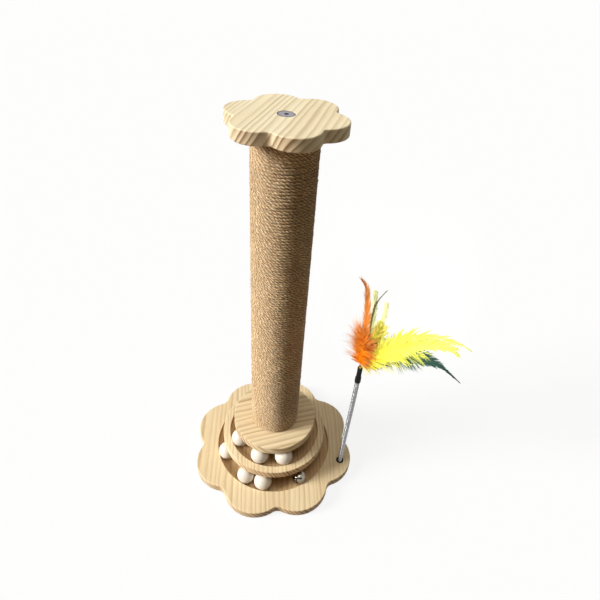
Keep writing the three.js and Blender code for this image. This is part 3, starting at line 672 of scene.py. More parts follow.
def slivers(roots, ways, bends, lengths, widths, across, thickness):
    """Thin closed slivers, each a flat three-sided blade that tapers along a bent line to a point.
    Gives their vertices, faces, and for each vertex its blade and its share of the blade."""
    shares = np.array([0.0, 0.45, 0.8])
    taper = np.array([1.0, 0.85, 0.5])
    count = len(roots)
    through = np.cross(ways, across)
    through /= np.linalg.norm(through, axis=1, keepdims=True)
    middle = (roots[:, None] + ways[:, None] * (lengths[:, None] * shares)[..., None]
              + bends[:, None] * (lengths[:, None] * shares ** 2)[..., None])
    half = (widths[:, None] * taper / 2)[..., None] * across[:, None]
    rise = (thickness * taper)[None, :, None] * through[:, None]
    tips = roots + ways * lengths[:, None] + bends * lengths[:, None]
    rings = np.stack([middle - half, middle + half, middle + rise], axis=2).reshape(count, 9, 3)
    verts = np.concatenate([rings, tips[:, None]], axis=1).reshape(-1, 3)
    pattern = [(0, 2, 1)]
    for ring in (0, 3):
        pattern += [(ring + k, ring + (k + 1) % 3, ring + 3 + (k + 1) % 3, ring + 3 + k) for k in range(3)]
    pattern += [(6 + k, 6 + (k + 1) % 3, 9) for k in range(3)]
    faces = [tuple(10 * n + k for k in face) for n in range(count) for face in pattern]
    share = np.tile(np.concatenate([np.repeat(shares, 3), [1.0]]), count)
    blade = np.repeat(np.arange(count), 10)
    return verts, faces, blade, share


def unit(vectors):
    return vectors / np.linalg.norm(vectors, axis=-1, keepdims=True)


fibre_count = 1700
shortest_fibre = 1.5 * mm
longest_fibre = 4 * mm
fibre_width = 0.15 * mm
fibre_thickness = 0.08 * mm
bare_end = 6 * mm
fibre_angle = chance.uniform(0, TAU, fibre_count)
fibre_out = np.stack([np.cos(fibre_angle), np.sin(fibre_angle), np.zeros(fibre_count)], axis=1)
fibre_round = np.stack([-np.sin(fibre_angle), np.cos(fibre_angle), np.zeros(fibre_count)], axis=1)
fibre_up = np.tile([0.0, 0.0, 1.0], (fibre_count, 1))
fibre_height = chance.uniform(column_bottom + bare_end, column_top - bare_end, fibre_count)
fibre_roots = fibre_out * (cord_circle + 0.75 * cord_radius) + fibre_up * fibre_height[:, None]
fibre_side = chance.choice([-1.0, 1.0], fibre_count)[:, None]
fibre_ways = unit(fibre_round * fibre_side + fibre_out * chance.uniform(0.10, 0.55, fibre_count)[:, None]
                  + fibre_up * chance.normal(0, 0.45, fibre_count)[:, None])
fibre_bends = (fibre_up * chance.normal(0, 0.35, fibre_count)[:, None]
               - fibre_out * chance.uniform(0.10, 0.45, fibre_count)[:, None])
verts, faces, blade, share = slivers(
    fibre_roots, fibre_ways, fibre_bends, chance.uniform(shortest_fibre, longest_fibre, fibre_count),
    np.full(fibre_count, fibre_width), unit(np.cross(fibre_ways, fibre_out)), fibre_thickness)
mesh = bpy.data.meshes.new("cord_fibres")
mesh.from_pydata(verts.tolist(), [], faces)
loose, tree, shader = new_material("loose_fibre", 0.85, 0.2)
tint = node(tree, "Attribute", attribute_name="tint").outputs["Fac"]
bleached = ramp(tree, tint, [(0.0, (0.62, 0.46, 0.27)), (0.5, (0.88, 0.74, 0.53)),
                             (1.0, (1.0, 0.92, 0.78))])
tree.links.new(bleached, shader.inputs["Base Color"])
tints = chance.uniform(0, 1, fibre_count)[blade].astype(np.float32)
mesh.attributes.new("tint", "FLOAT", "POINT").data.foreach_set("value", tints)
dress(link_object("cord_fibres", mesh, loose), "post", "sisal")

# ---- Top board ----------------------------------------------------------------------------------
# A smaller flower of six lobes from boldly striped pine, with a shallow pocket for the bolt's
# head in the middle. The growth rings run slantwise down through its side.

top_flower = {"lobes": 6, "centre": 41.4 * mm, "lobe": 28.3 * mm, "notch": 6.5 * mm, "phase": 44}
board_low, board_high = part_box("top_board")
top_pine = pine("top_pine", grain=72, heart=(-0.190, 0.495), ring=6.6 * mm, light=(0.965, 0.860, 0.600),
                dark=(0.545, 0.405, 0.215), bold=0.88)
bm = bmesh.new()
flower_side(bm, top_flower, board_low.z, board_high.z, edge_rounding)
turn(bm, soften([
    (head_pocket + 1 * mm, board_high.z),
    (head_pocket, board_high.z, 0.3 * mm),
    (head_pocket, board_high.z - head_pocket_depth),
    (bolt_hole, board_high.z - head_pocket_depth),
    (bolt_hole, board_low.z),
]), 96)
close_flat(bm, board_high.z)
close_flat(bm, board_low.z)
place(bm, "flower_top", top_pine, "post", "pine", "top_board")

# ---- Top bolt -----------------------------------------------------------------------------------
# A furniture connector bolt of zinc-plated steel with a wide flat head and a hexagon socket.

bolt_low, bolt_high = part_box("top_bolt")
head_radius = bolt_high.x
head_thickness = 2.4 * mm
shank_radius = 4 * mm
socket_radius = 2.5 * mm / math.cos(math.pi / 6)
socket_depth = 3.5 * mm
socket_lip = 3.7 * mm
bm = bmesh.new()
turn(bm, soften([
    (socket_lip, bolt_high.z),
    (head_radius, bolt_high.z, 0.6 * mm),
    (head_radius, bolt_high.z - head_thickness, 0.2 * mm),
    (shank_radius, bolt_high.z - head_thickness),
    (shank_radius, bolt_low.z, 0.6 * mm),
    (0, bolt_low.z),
]), 48)
mouth = [edge for edge in bm.edges if edge.is_boundary]
bmesh.ops.create_circle(bm, segments=6, radius=socket_radius,
                        matrix=Matrix.Translation((0, 0, bolt_high.z)))
socket = [edge for edge in bm.edges if edge.is_wire]
bmesh.ops.subdivide_edges(bm, edges=socket, cuts=7)
socket = [edge for edge in bm.edges if edge.is_wire]
bmesh.ops.bridge_loops(bm, edges=mouth + socket)
socket = [edge for edge in bm.edges if edge.is_boundary]
sunk = bmesh.ops.extrude_edge_only(bm, edges=socket)["geom"]
sunk_verts = [part for part in sunk if isinstance(part, bmesh.types.BMVert)]
sunk_edges = [part for part in sunk if isinstance(part, bmesh.types.BMEdge)]
bmesh.ops.translate(bm, verts=sunk_verts, vec=(0, 0, -socket_depth))
bmesh.ops.contextual_create(bm, geom=[edge for edge in sunk_edges if edge.is_boundary])
place(bm, "socket_bolt", zinc, "post", "zinc", "top_bolt")

# ---- Balls --------------------------------------------------------------------------------------
# Turned beech balls, bleached and sealed with a thin clear coat. Two small flats are left where
# the lathe's centres held the blank.

ball_wood, tree, shader = new_material("ball_wood", 0.42, 0.35)
stretched = node(tree, "Mapping", {"Vector": on_object(tree), "Scale": (900, 60, 900)}).outputs[0]
figure = node(tree, "TexNoise", {"Vector": stretched, "Scale": 1.0, "Detail": 3.0}).outputs[0]
creamy = ramp(tree, figure, [(0.3, (0.780, 0.700, 0.590)), (0.7, (0.870, 0.815, 0.730))])
clouds = ramp(tree, mottle(tree, 90.0, 2.0), [(0.3, (0.95, 0.93, 0.90)), (0.7, (1, 1, 1))])
tree.links.new(multiply(tree, creamy, clouds), shader.inputs["Base Color"])
tree.links.new(greys(tree, figure, [(0.3, 0.36), (0.7, 0.48)]), shader.inputs["Roughness"])
bump(tree, shader, figure, 0.12, 0.06 * mm)

flat_radius = 1.6 * mm
for n in range(6):
    tier, number = ("lower", "upper")[n // 3], n % 3 + 1
    name = f"{tier}_ball_{number}"
    low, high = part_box(name)
    radius = (high.z - low.z) / 2
    bm = bmesh.new()
    bmesh.ops.create_uvsphere(bm, u_segments=64, v_segments=40, radius=radius)
    for pole in (-1, 1):
        flat_at = pole * math.sqrt(radius ** 2 - flat_radius ** 2)
        bmesh.ops.bisect_plane(bm, geom=bm.verts[:] + bm.edges[:] + bm.faces[:], plane_co=(0, 0, flat_at),
                               plane_no=(0, 0, pole), clear_outer=True)
        rim = [edge for edge in bm.edges if edge.is_boundary]
        bmesh.ops.contextual_create(bm, geom=rim)
    tumble = Matrix.Rotation(1.1 + 0.7 * n, 4, "X") @ Matrix.Rotation(0.4 + 1.3 * n, 4, "Y")
    bmesh.ops.transform(bm, verts=bm.verts, matrix=Matrix.Translation((low + high) / 2) @ tumble)
    place(bm, f"{tier}_wood_ball_{number}", ball_wood, name, "ball_wood", name)

# ---- Bell ---------------------------------------------------------------------------------------
# A jingle bell of two cups pressed from thin steel and chromed, crimped together at a bead round
# the middle. One cup has two crossed slots that end in round holes; a steel pellet lies inside.

chrome, tree, shader = new_material("chrome", 0.1, metallic=1.0)
smears = mottle(tree, 320.0, 4.0)
# Painted reflection: the base colour is a dark, warm brown-grey, as the wood and shade round the bell
# would reflect.
tree.links.new(ramp(tree, smears, [(0.3, (0.25, 0.225, 0.190)), (0.7, (0.33, 0.300, 0.255))]),
               shader.inputs["Base Color"])
tree.links.new(greys(tree, smears, [(0.35, 0.10), (0.75, 0.24)]), shader.inputs["Roughness"])
bump(tree, shader, smears, 0.08, 0.1 * mm)

bell_radius = 12 * mm
bell_bead = 0.4 * mm
bell_bead_height = 0.8 * mm
bell_wall = 0.6 * mm
bell_seam = 0.15 * mm
slot_half = 0.9 * mm
slot_hole = 1.6 * mm
slot_reach = 7 * mm
slot_cut_from = 6 * mm
hole_cut_from = 4 * mm
cuts_apart = 0.01 * mm
bell_tilt = math.radians(-140)
bell_turn = math.radians(25)
bell_angle = math.radians(-58.7)
bell_seat_gap = 0.3 * mm
bell_rim_gap = 0.5 * mm
bell_track = (groove_outer - bell_rim_gap
              - math.sqrt(bell_radius ** 2 - (bell_radius - groove_depth) ** 2))
bell_centre = Vector((bell_track * math.cos(bell_angle), bell_track * math.sin(bell_angle),
                      base_top - groove_depth + bell_seat_gap + bell_radius))
bell_place = (Matrix.Translation(bell_centre) @ Matrix.Rotation(bell_tilt, 4, "X")
              @ Matrix.Rotation(bell_turn, 4, "Y"))


def bell_cup():
    """Half of the bell above z = 0, as a thin cup with a bead round its rim."""
    outer = bell_radius - bell_bead
    inner = outer - bell_wall
    steps = 18
    profile = soften([
        (math.sqrt(inner ** 2 - bell_seam ** 2), bell_seam),
        (bell_radius, bell_seam, 0.2 * mm),
        (bell_radius, bell_bead_height, 0.3 * mm),
        (math.sqrt(outer ** 2 - bell_bead_height ** 2), bell_bead_height),
    ], 3)
    start = math.asin(bell_bead_height / outer)
    for n in range(1, steps + 1):
        a = start + (math.pi / 2 - start) * n / steps
        profile.append((outer * math.cos(a) if n < steps else 0, outer * math.sin(a)))
    for n in range(steps + 1):
        a = math.pi / 2 + (math.asin(bell_seam / inner) - math.pi / 2) * n / steps
        profile.append((inner * math.cos(a) if n else 0, inner * math.sin(a)))
    bm = bmesh.new()
    turn(bm, profile, 72)
    bmesh.ops.remove_doubles(bm, verts=bm.verts, dist=1e-6)
    bmesh.ops.recalc_face_normals(bm, faces=bm.faces)
    return bm


bm = bell_cup()
bmesh.ops.transform(bm, verts=bm.verts, matrix=bell_place)
place(bm, "bell_cup_plain", chrome, "bell", "chrome", "bell_upper_shell")

cutter = bmesh.new()
for quarter in (0, 1):
    spin_to = Matrix.Rotation(quarter * math.pi / 2, 4, "Z")
    made = bmesh.ops.create_cube(cutter, size=1)["verts"]
    bmesh.ops.scale(cutter, verts=made, vec=(2 * slot_reach, 2 * slot_half, bell_radius))
    bmesh.ops.transform(cutter, verts=made, matrix=spin_to @ Matrix.Translation(
        (0, 0, bell_radius / 2 + slot_cut_from + cuts_apart * quarter)))
    for side in (-1, 1):
        made = bmesh.ops.create_cone(cutter, cap_ends=True, segments=32, radius1=slot_hole,
                                     radius2=slot_hole, depth=bell_radius)["verts"]
        bmesh.ops.transform(cutter, verts=made, matrix=spin_to @ Matrix.Translation(
            (side * slot_reach, 0, bell_radius / 2 + hole_cut_from + cuts_apart * quarter)))
cup = link_object("slotted_cup", mesh_from("slotted_cup", bell_cup()))
tool = link_object("slot_tool", mesh_from("slot_tool", cutter))
cutting = cup.modifiers.new("slots", "BOOLEAN")
cutting.object = tool
cutting.operation = "DIFFERENCE"
cutting.solver = "EXACT"
cutting.use_self = True
slotted = bpy.data.meshes.new_from_object(cup.evaluated_get(bpy.context.evaluated_depsgraph_get()))
for made in (cup, tool):
    bpy.data.objects.remove(made)
bm = bmesh.new()
bm.from_mesh(slotted)
bmesh.ops.transform(bm, verts=bm.verts, matrix=bell_place @ Matrix.Rotation(math.pi, 4, "X"))
place(bm, "bell_cup_slotted", chrome, "bell", "chrome", "bell_lower_shell")

low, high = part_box("bell_pellet")
bm = bmesh.new()
bmesh.ops.create_icosphere(bm, subdivisions=4, radius=(high.z - low.z) / 2,
                           matrix=Matrix.Translation((low + high) / 2))
place(bm, "rattle_pellet", zinc, "pellet", "zinc", "bell_pellet")

# ---- Toy spring ---------------------------------------------------------------------------------
# The toy stands on a close-wound tension spring of bright steel wire, pushed into a black plastic
# bush in the base. It is made in two lengths here, cut midway between the two joints at which it bends.

black, tree, shader = new_material("black_plastic", 0.6, 0.08)
scuffs = mottle(tree, 900.0, 3.0)
tree.links.new(ramp(tree, scuffs, [(0.3, (0.006, 0.006, 0.007)), (0.7, (0.018, 0.018, 0.019))]),
               shader.inputs["Base Color"])
tree.links.new(greys(tree, scuffs, [(0.3, 0.42), (0.7, 0.62)]), shader.inputs["Roughness"])
bump(tree, shader, scuffs, 0.2, 0.1 * mm)

bush_outer = (bush_high.x - bush_low.x) / 2
bush_wall = 2.6 * mm
bush_inner = bush_outer - bush_wall
bm = bmesh.new()
turn(bm, soften([
    (bush_inner, bush_low.z),
    (bush_outer, bush_low.z, 0.2 * mm),
    (bush_outer, bush_high.z, 0.3 * mm),
    (bush_inner, bush_high.z, 0.4 * mm),
    (bush_inner, bush_low.z),
]), 48)
bmesh.ops.translate(bm, verts=bm.verts, vec=(toy_foot.x, toy_foot.y, 0))
place(bm, "toy_bush", black, "post", "black_rubber", "spring_bush")

bright_steel, tree, shader = new_material("bright_steel", 0.24, metallic=1.0)
drawn = mottle(tree, 700.0, 3.0)
tree.links.new(greys(tree, drawn, [(0.3, 0.27), (0.7, 0.40)]), shader.inputs["Base Color"])
tree.links.new(greys(tree, drawn, [(0.3, 0.18), (0.7, 0.34)]), shader.inputs["Roughness"])

toy_facing = math.radians(-14.8)
toy_lean = 3 * mm
spring_foot, spring_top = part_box("toy_spring")[0].z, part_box("toy_spring")[1].z
sleeve_bottom, sleeve_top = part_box("toy_sleeve")[0].z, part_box("toy_sleeve")[1].z
wire_radius = 0.72 * mm
spring_radius = 3.72 * mm - wire_radius
spring_pitch = 2.6 * mm
curl_steps = 20
wire_sides = 8
toy_place = Matrix.Translation((toy_foot.x, toy_foot.y, 0)) @ Matrix.Rotation(toy_facing, 4, "Z")


def lean_at(height):
    """How far the spring's middle line stands off its foot at this height, along the toy's X."""
    share = np.clip((height - base_top) / (sleeve_bottom - base_top), 0, 1)
    return toy_lean * share * share * (3 - 2 * share)


def face_outward(mesh):
    bm = bmesh.new()
    bm.from_mesh(mesh)
    bmesh.ops.recalc_face_normals(bm, faces=bm.faces)
    bm.to_mesh(mesh)
    bm.free()


def coil_piece(name, bottom, top, start_angle):
    """A length of the spring: rings of a round section along a helix, closed at both ends."""
    curls = (top - bottom) / spring_pitch
    steps = round(curls * curl_steps)
    at = np.arange(steps + 1) / steps
    turned = start_angle + at * curls * TAU
    heights = bottom + at * (top - bottom)
    sides = np.arange(wire_sides) * (TAU / wire_sides)
    out = spring_radius + wire_radius * np.cos(sides)[None, :]
    up = heights[:, None] + wire_radius * np.sin(sides)[None, :]
    rings = np.stack([out * np.cos(turned[:, None]) + lean_at(heights)[:, None],
                      out * np.sin(turned[:, None]), up], axis=2)
    verts = rings.reshape(-1, 3)
    faces = []
    for ring in range(steps):
        for k in range(wire_sides):
            a, b = ring * wire_sides + k, ring * wire_sides + (k + 1) % wire_sides
            faces.append((a, a + wire_sides, b + wire_sides, b))
    faces.append(tuple(range(wire_sides)))
    faces.append(tuple(steps * wire_sides + k for k in reversed(range(wire_sides))))
    mesh = bpy.data.meshes.new(name)
    mesh.from_pydata(verts.tolist(), [], faces)
    mesh.transform(toy_place)
    face_outward(mesh)
    mesh.shade_smooth()
    piece = link_object(name, mesh, bright_steel)
    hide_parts("toy_spring")
    return piece, start_angle + curls * TAU


joints = {joint["name"]: joint for joint in frame["joints"]}
sway_height = joints["toy_sway"]["pos_m"][2]
nod_height = joints["toy_nod"]["pos_m"][2]
spring_cut = (sway_height + nod_height) / 2
cut_gap = 0.02 * mm
coil_low = spring_foot + wire_radius
coil_high = spring_top - wire_radius
lower_coil, cut_angle = coil_piece("spring_lower_length", coil_low, spring_cut, 0)
upper_coil, _ = coil_piece("spring_upper_length", spring_cut + cut_gap, coil_high, cut_angle)


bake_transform(lower_coil)
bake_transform(upper_coil)

# ---- Sleeve -------------------------------------------------------------------------------------
# A short length of black shrink tube, heated until it gripped the spring's end and the quills.

sleeve_wide = 4.6 * mm
sleeve_narrow = 3.8 * mm
sleeve_bore = 3.82 * mm
socket_bore = 2.9 * mm
socket_floor = sleeve_top - 8 * mm
grip_length = 9 * mm
neck_length = 5 * mm
bm = bmesh.new()
turn(bm, soften([
    (sleeve_bore, spring_top),
    (sleeve_bore, sleeve_bottom),
    (sleeve_wide, sleeve_bottom, 0.3 * mm),
    (sleeve_wide, sleeve_bottom + grip_length, 1.5 * mm),
    (sleeve_narrow - 0.1 * mm, sleeve_bottom + grip_length + neck_length, 2 * mm),
    (sleeve_narrow, socket_floor, 2 * mm),
    (sleeve_narrow, sleeve_top, 0.3 * mm),
    (socket_bore, sleeve_top, 0.2 * mm),
    (socket_bore, socket_floor),
    (0, socket_floor),
    (0, spring_top),
    (sleeve_bore, spring_top),
]), 48)
bmesh.ops.transform(bm, verts=bm.verts, matrix=toy_place @ Matrix.Translation((toy_lean, 0, 0)))
place(bm, "shrunk_sleeve", black, "toy_head", "black_rubber", "toy_sleeve")

# ---- Feathers -----------------------------------------------------------------------------------
# Dyed cock hackles and soft turkey plumes, their quills bunched in the sleeve. Each is a tapering
# shaft with some hundreds of barbs, which lie close in a vane or stand loose as down.


def smooth_line(points, count):
    """Points evenly along a curve through the given ones."""
    given = [Vector(point) for point in points]
    given = [2 * given[0] - given[1]] + given + [2 * given[-1] - given[-2]]
    dense = []
    for a, b, c, d in zip(given, given[1:], given[2:], given[3:]):
        for n in range(24):
            t = n / 24
            dense.append(0.5 * ((2 * b) + (c - a) * t + (2 * a - 5 * b + 4 * c - d) * t ** 2
                                + (3 * b - a - 3 * c + d) * t ** 3))
    dense = np.array(dense + [given[-2]])
    reach = np.concatenate([[0], np.cumsum(np.linalg.norm(np.diff(dense, axis=0), axis=1))])
    at = np.linspace(0, reach[-1], count)
    return np.stack([np.interp(at, reach, dense[:, k]) for k in range(3)], axis=1)


def along_line(shares, line, at):
    return np.stack([np.interp(at, shares, line[:, k]) for k in range(3)], axis=1)


def given_at(pairs, shares):
    return np.interp(shares, [pair[0] for pair in pairs], [pair[1] for pair in pairs])


def feather_material(name, shaft, root, middle, tip, fringe=None, dark=0.75, light=1.15, glow=0.08,
                     solid=1.0):
    """Dyed barbs: colour along the feather, lighter and darker barbs, ends that may fade into a
    fringe colour, light that shines through, and `solid` below 1 where down is thinner than a hair."""
    material, tree, shader = new_material(name, 0.62, 0.2)
    shader.inputs["Alpha"].default_value = solid
    strand = node(tree, "Attribute", attribute_name="strand").outputs["Vector"]
    tint, reach, rise = node(tree, "SeparateXYZ", {0: strand}).outputs
    colour = ramp(tree, rise, [(0.0, root), (0.45, middle), (1.0, tip)])
    if fringe:
        faded = math_node(tree, "POWER", math_node(tree, "MAXIMUM", reach, 0.0), 3.5)
        colour = mix(tree, faded, colour, (*fringe, 1))
    streaked = multiply(tree, colour, greys(tree, tint, [(0.0, dark), (1.0, light)]))
    coloured = mix(tree, math_node(tree, "LESS_THAN", reach, -0.5), streaked, (*shaft, 1))
    tree.links.new(coloured, shader.inputs["Base Color"])
    through = node(tree, "BsdfTranslucent", {"Color": coloured})
    both = node(tree, "MixShader", {0: glow, 1: shader.outputs[0], 2: through.outputs[0]})
    tree.links.new(both.outputs[0], tree.nodes["Material Output"].inputs["Surface"])
    return material


head_place = toy_place @ Matrix.Translation((toy_lean, 0, sleeve_top))
quill_circle = 1.9 * mm
quill_radius = 0.5 * mm
quill_floor = -7.5 * mm
quill_rise = 3 * mm
barb_thickness = 0.05 * mm
shaft_points = 61
shaft_sides = 5
near_upright = (-0.50, -0.78, 0.36)


def feather(name, material, slot, slot_angle, spine, groups, seed, face=(-0.22, -0.72, 0.66)):
    """One feather. `spine` is in millimetres from the sleeve's top: x to the toy's right, y to its
    back, z up. `face` is the way its flat side looks. Each group of barbs says where it grows
    along the shaft, at what angle, and how long, wide, clumped and loose it is."""
    chance = np.random.default_rng(seed)
    quill = Vector((0, 0, 0))
    if slot_angle is not None:
        quill = Matrix.Rotation(math.radians(slot_angle), 3, "Z") @ Vector((quill_circle, 0, 0))
    points = [quill, quill + Vector((0, 0, quill_rise))] + [Vector(point) * mm for point in spine]
    line = smooth_line(points, shaft_points)
    shares = np.linspace(0, 1, shaft_points)
    tangent = unit(np.gradient(line, axis=0))
    across = unit(np.cross(-np.tile(unit(np.array(face)), (shaft_points, 1)), tangent))
    through = np.cross(tangent, across)
    verts, faces, strand = [], [], []
    shaft = [np.array(quill) + np.array([0, 0, quill_floor])] + list(line)
    shaft_across = np.concatenate([across[:1], across])
    shaft_through = np.concatenate([through[:1], through])
    thick = quill_radius * np.concatenate([[1.0], 1 - 0.88 * shares ** 0.55])
    for n, (point, right, front, radius) in enumerate(zip(shaft, shaft_across, shaft_through, thick)):
        for k in range(shaft_sides):
            turned = TAU * k / shaft_sides
            verts.append(point + radius * (right * math.cos(turned) + front * math.sin(turned)))
            strand.append((0.5, -1.0, max(n - 1, 0) / shaft_points))
        if n:
            low = shaft_sides * (n - 1)
            faces += [(low + k, low + (k + 1) % shaft_sides, low + shaft_sides + (k + 1) % shaft_sides,
                       low + shaft_sides + k) for k in range(shaft_sides)]
    faces.append(tuple(reversed(range(shaft_sides))))
    faces.append(tuple(shaft_sides * shaft_points + k for k in range(shaft_sides)))
    verts, strand = np.array(verts), np.array(strand)
    for group in groups:
        count = group["count"]
        sides = np.array(group.get("sides", (-1, 1)))
        barb = np.arange(count)
        at = group["from"] + (group["to"] - group["from"]) * (barb + chance.uniform(0, 1, count)) / count
        clump = group.get("clump", 6) * len(sides)
        member = (barb // clump) * len(sides) + barb % len(sides)
        clumps = member.max() + 1
        side = sides[barb % len(sides)]
        off_middle = ((barb % clump) / clump - 0.5) * 2
        spread = group.get("ruffle", 5)
        turn_off = chance.normal(0, spread, clumps)[member] + chance.normal(0, spread / 3, count)
        turn_off += off_middle * group.get("gather", 4)
        roots = along_line(shares, line, at)
        along = unit(along_line(shares, tangent, at))
        wide = unit(along_line(shares, across, at))
        deep = np.cross(along, wide)
        roots = roots + deep * chance.normal(0, group.get("pile", 0.25) * mm, count)[:, None]
        angle = np.radians(given_at(group["angle"], at) + turn_off)
        loft = group.get("loft", 0.06)
        lift = chance.normal(0, loft, clumps)[member] + chance.normal(0, loft / 3, count)
        ways = unit(along * np.cos(angle)[:, None] + wide * (side * np.sin(angle))[:, None]
                    + deep * lift[:, None])
        short = group.get("short", 0.8)
        lengths = given_at(group["length"], at) * mm * chance.uniform(short, 1.05, clumps)[member]
        lengths *= chance.uniform(0.92, 1.05, count)
        stray = group.get("stray", 0.06)
        curl = group.get("curl", 0.15) + chance.normal(0, stray, clumps)[member]
        wave = chance.normal(0, stray, clumps)[member] + chance.normal(0, stray / 3, count)
        bends = along * curl[:, None] + deep * wave[:, None]
        flat = unit(np.cross(ways, deep + 0.35 * wide * chance.normal(0, 1, count)[:, None]))
        widths = group["width"] * mm * chance.uniform(0.75, 1.2, count)
        new, pattern, blade, share = slivers(roots, ways, bends, lengths, widths, flat, barb_thickness)
        start = len(verts)
        faces += [tuple(start + k for k in face) for face in pattern]
        verts = np.concatenate([verts, new])
        tint = chance.uniform(0, 1, clumps)[member] * 0.6 + chance.uniform(0, 1, count) * 0.4
        strand = np.concatenate([strand, np.stack([tint[blade], share, at[blade]], axis=1)])
    mesh = bpy.data.meshes.new(name)
    mesh.from_pydata(verts.tolist(), [], faces)
    mesh.transform(head_place)
    mesh.attributes.new("strand", "FLOAT_VECTOR", "POINT").data.foreach_set("vector", strand.ravel())
    face_outward(mesh)
    dress(link_object(name, mesh, material), "toy_head", slot, name.removesuffix("_feather"))


rust = feather_material("rust_hackle", (0.36, 0.085, 0.010), (0.98, 0.34, 0.012), (0.90, 0.30, 0.045),
                        (0.50, 0.15, 0.040), fringe=(0.92, 0.44, 0.12), dark=0.66, light=1.02)
feather("orange_hackle_feather", rust, "orange_feather", 180,
        [(-1, -1, 22), (-3, -1, 75), (-7, -2, 121), (-13, -2, 147), (-24, -3, 164)],
        [{"from": 0.30, "to": 0.93, "count": 420, "angle": [(0.3, 23), (0.6, 19), (0.95, 8)],
          "ruffle": 1.3, "length": [(0.3, 16), (0.5, 20), (0.75, 19), (0.93, 12)], "width": 0.62,
          "short": 0.93, "curl": 0.08, "stray": 0.012, "loft": 0.02, "clump": 12, "gather": 1},
         {"from": 0.34, "to": 0.75, "count": 90, "angle": [(0.3, 30), (0.75, 22)], "ruffle": 5,
          "sides": (-1,), "length": [(0.3, 16), (0.75, 19)], "width": 0.4, "curl": 0.1,
          "stray": 0.05, "loft": 0.06, "clump": 5},
         {"from": 0.12, "to": 0.42, "count": 150, "angle": [(0.1, 55), (0.42, 34)], "ruffle": 12,
          "length": [(0.1, 12), (0.3, 17), (0.42, 17)], "width": 0.45, "curl": 0.25, "stray": 0.15,
          "loft": 0.2}],
        seed=11, face=near_upright)

flame = feather_material("orange_down", (0.92, 0.275, 0.004), (0.98, 0.270, 0.001), (0.97, 0.295, 0.005),
                         (0.88, 0.30, 0.04), fringe=(0.70, 0.42, 0.16), dark=0.90, light=1.03, solid=0.75)
feather("orange_fluff_feather", flame, "orange_down", -135,
        [(0, -4, 14), (1, -5, 34), (-1, -6, 56), (-8, -6, 76)],
        [{"from": 0.20, "to": 0.74, "count": 780, "angle": [(0.2, 92), (0.4, 70), (0.74, 40)],
          "ruffle": 9, "length": [(0.2, 17), (0.4, 20), (0.6, 21), (0.74, 18)], "width": 1.15,
          "curl": 0.06, "stray": 0.10, "loft": 0.30, "pile": 2.2},
         {"from": 0.45, "to": 0.97, "count": 260, "angle": [(0.45, 60), (1, 18)], "ruffle": 9,
          "sides": (-1, -1, -1, 1), "length": [(0.5, 29), (0.8, 26), (1, 18)], "width": 0.7,
          "curl": 0.08, "stray": 0.08, "loft": 0.25, "clump": 6, "gather": 6, "short": 0.6},
         {"from": 0.16, "to": 0.96, "count": 560, "angle": [(0.1, 92), (0.4, 70), (1, 18)],
          "ruffle": 12, "sides": (-1, -1, -1, 1),
          "length": [(0, 23), (0.3, 37), (0.6, 37), (1, 25)], "width": 0.40, "curl": 0.12,
          "stray": 0.18, "loft": 0.35, "clump": 4, "short": 0.7}],
        seed=12, face=near_upright)

lemon = feather_material("lemon_plume", (0.78, 0.74, 0.09), (0.80, 0.68, 0.05), (0.80, 0.77, 0.065),
                         (0.56, 0.58, 0.13), fringe=(0.76, 0.78, 0.17), dark=0.86, light=1.06, solid=0.85)
feather("yellow_plume_feather", lemon, "yellow_feather", -90,
        [(5, -8, 12), (13, -13, 30), (29, -14, 52), (64, -13, 74), (90, -12, 82), (108, -11, 82),
         (121, -11, 74)],
        [{"from": 0.10, "to": 0.99, "count": 520,
          "angle": [(0.1, 60), (0.4, 44), (0.7, 28), (1, 8)], "ruffle": 5, "sides": (-1,),
          "length": [(0.1, 14), (0.25, 24), (0.45, 30), (0.65, 27), (0.85, 16), (1, 7)],
          "width": 1.25, "curl": 0.18, "stray": 0.05, "loft": 0.06, "clump": 5, "gather": 2,
          "pile": 0.5},
         {"from": 0.10, "to": 0.99, "count": 520,
          "angle": [(0.1, 66), (0.4, 50), (0.7, 26), (1, 8)], "ruffle": 5, "sides": (1,),
          "length": [(0.1, 12), (0.25, 22), (0.42, 20), (0.54, 14), (0.68, 13), (0.85, 12), (1, 6)],
          "width": 1.25, "curl": 0.20, "stray": 0.05, "loft": 0.06, "clump": 5, "gather": 2,
          "pile": 0.5},
         {"from": 0.06, "to": 0.66, "count": 170, "angle": [(0, 86), (0.4, 68), (0.66, 52)],
          "ruffle": 9, "sides": (1,), "length": [(0, 15), (0.25, 32), (0.45, 39), (0.66, 33)],
          "width": 0.42, "curl": 0.10, "stray": 0.12, "loft": 0.2, "clump": 4, "short": 0.65},
         {"from": 0.16, "to": 0.85, "count": 220, "angle": [(0.2, 50), (0.85, 22)], "ruffle": 8,
          "sides": (-1,), "length": [(0.16, 16), (0.5, 27), (0.85, 17)], "width": 0.6, "curl": 0.12,
          "stray": 0.1, "loft": 0.12, "clump": 5, "gather": 4, "short": 0.6}],
        seed=13)

feather("yellow_hackle_feather", lemon, "yellow_feather", -45,
        [(8, -2, 16), (32, -4, 63), (58, -5, 86), (93, -5, 93), (120, -4, 88), (138, -3, 79)],
        [{"from": 0.20, "to": 0.99, "count": 480,
          "angle": [(0.2, 46), (0.5, 32), (0.8, 15), (1, 7)], "ruffle": 6,
          "length": [(0.2, 16), (0.5, 20), (0.75, 14), (0.9, 6), (1, 4)], "width": 0.9,
          "curl": 0.15, "stray": 0.07, "loft": 0.08, "clump": 8, "gather": 6, "short": 0.6}],
        seed=14)

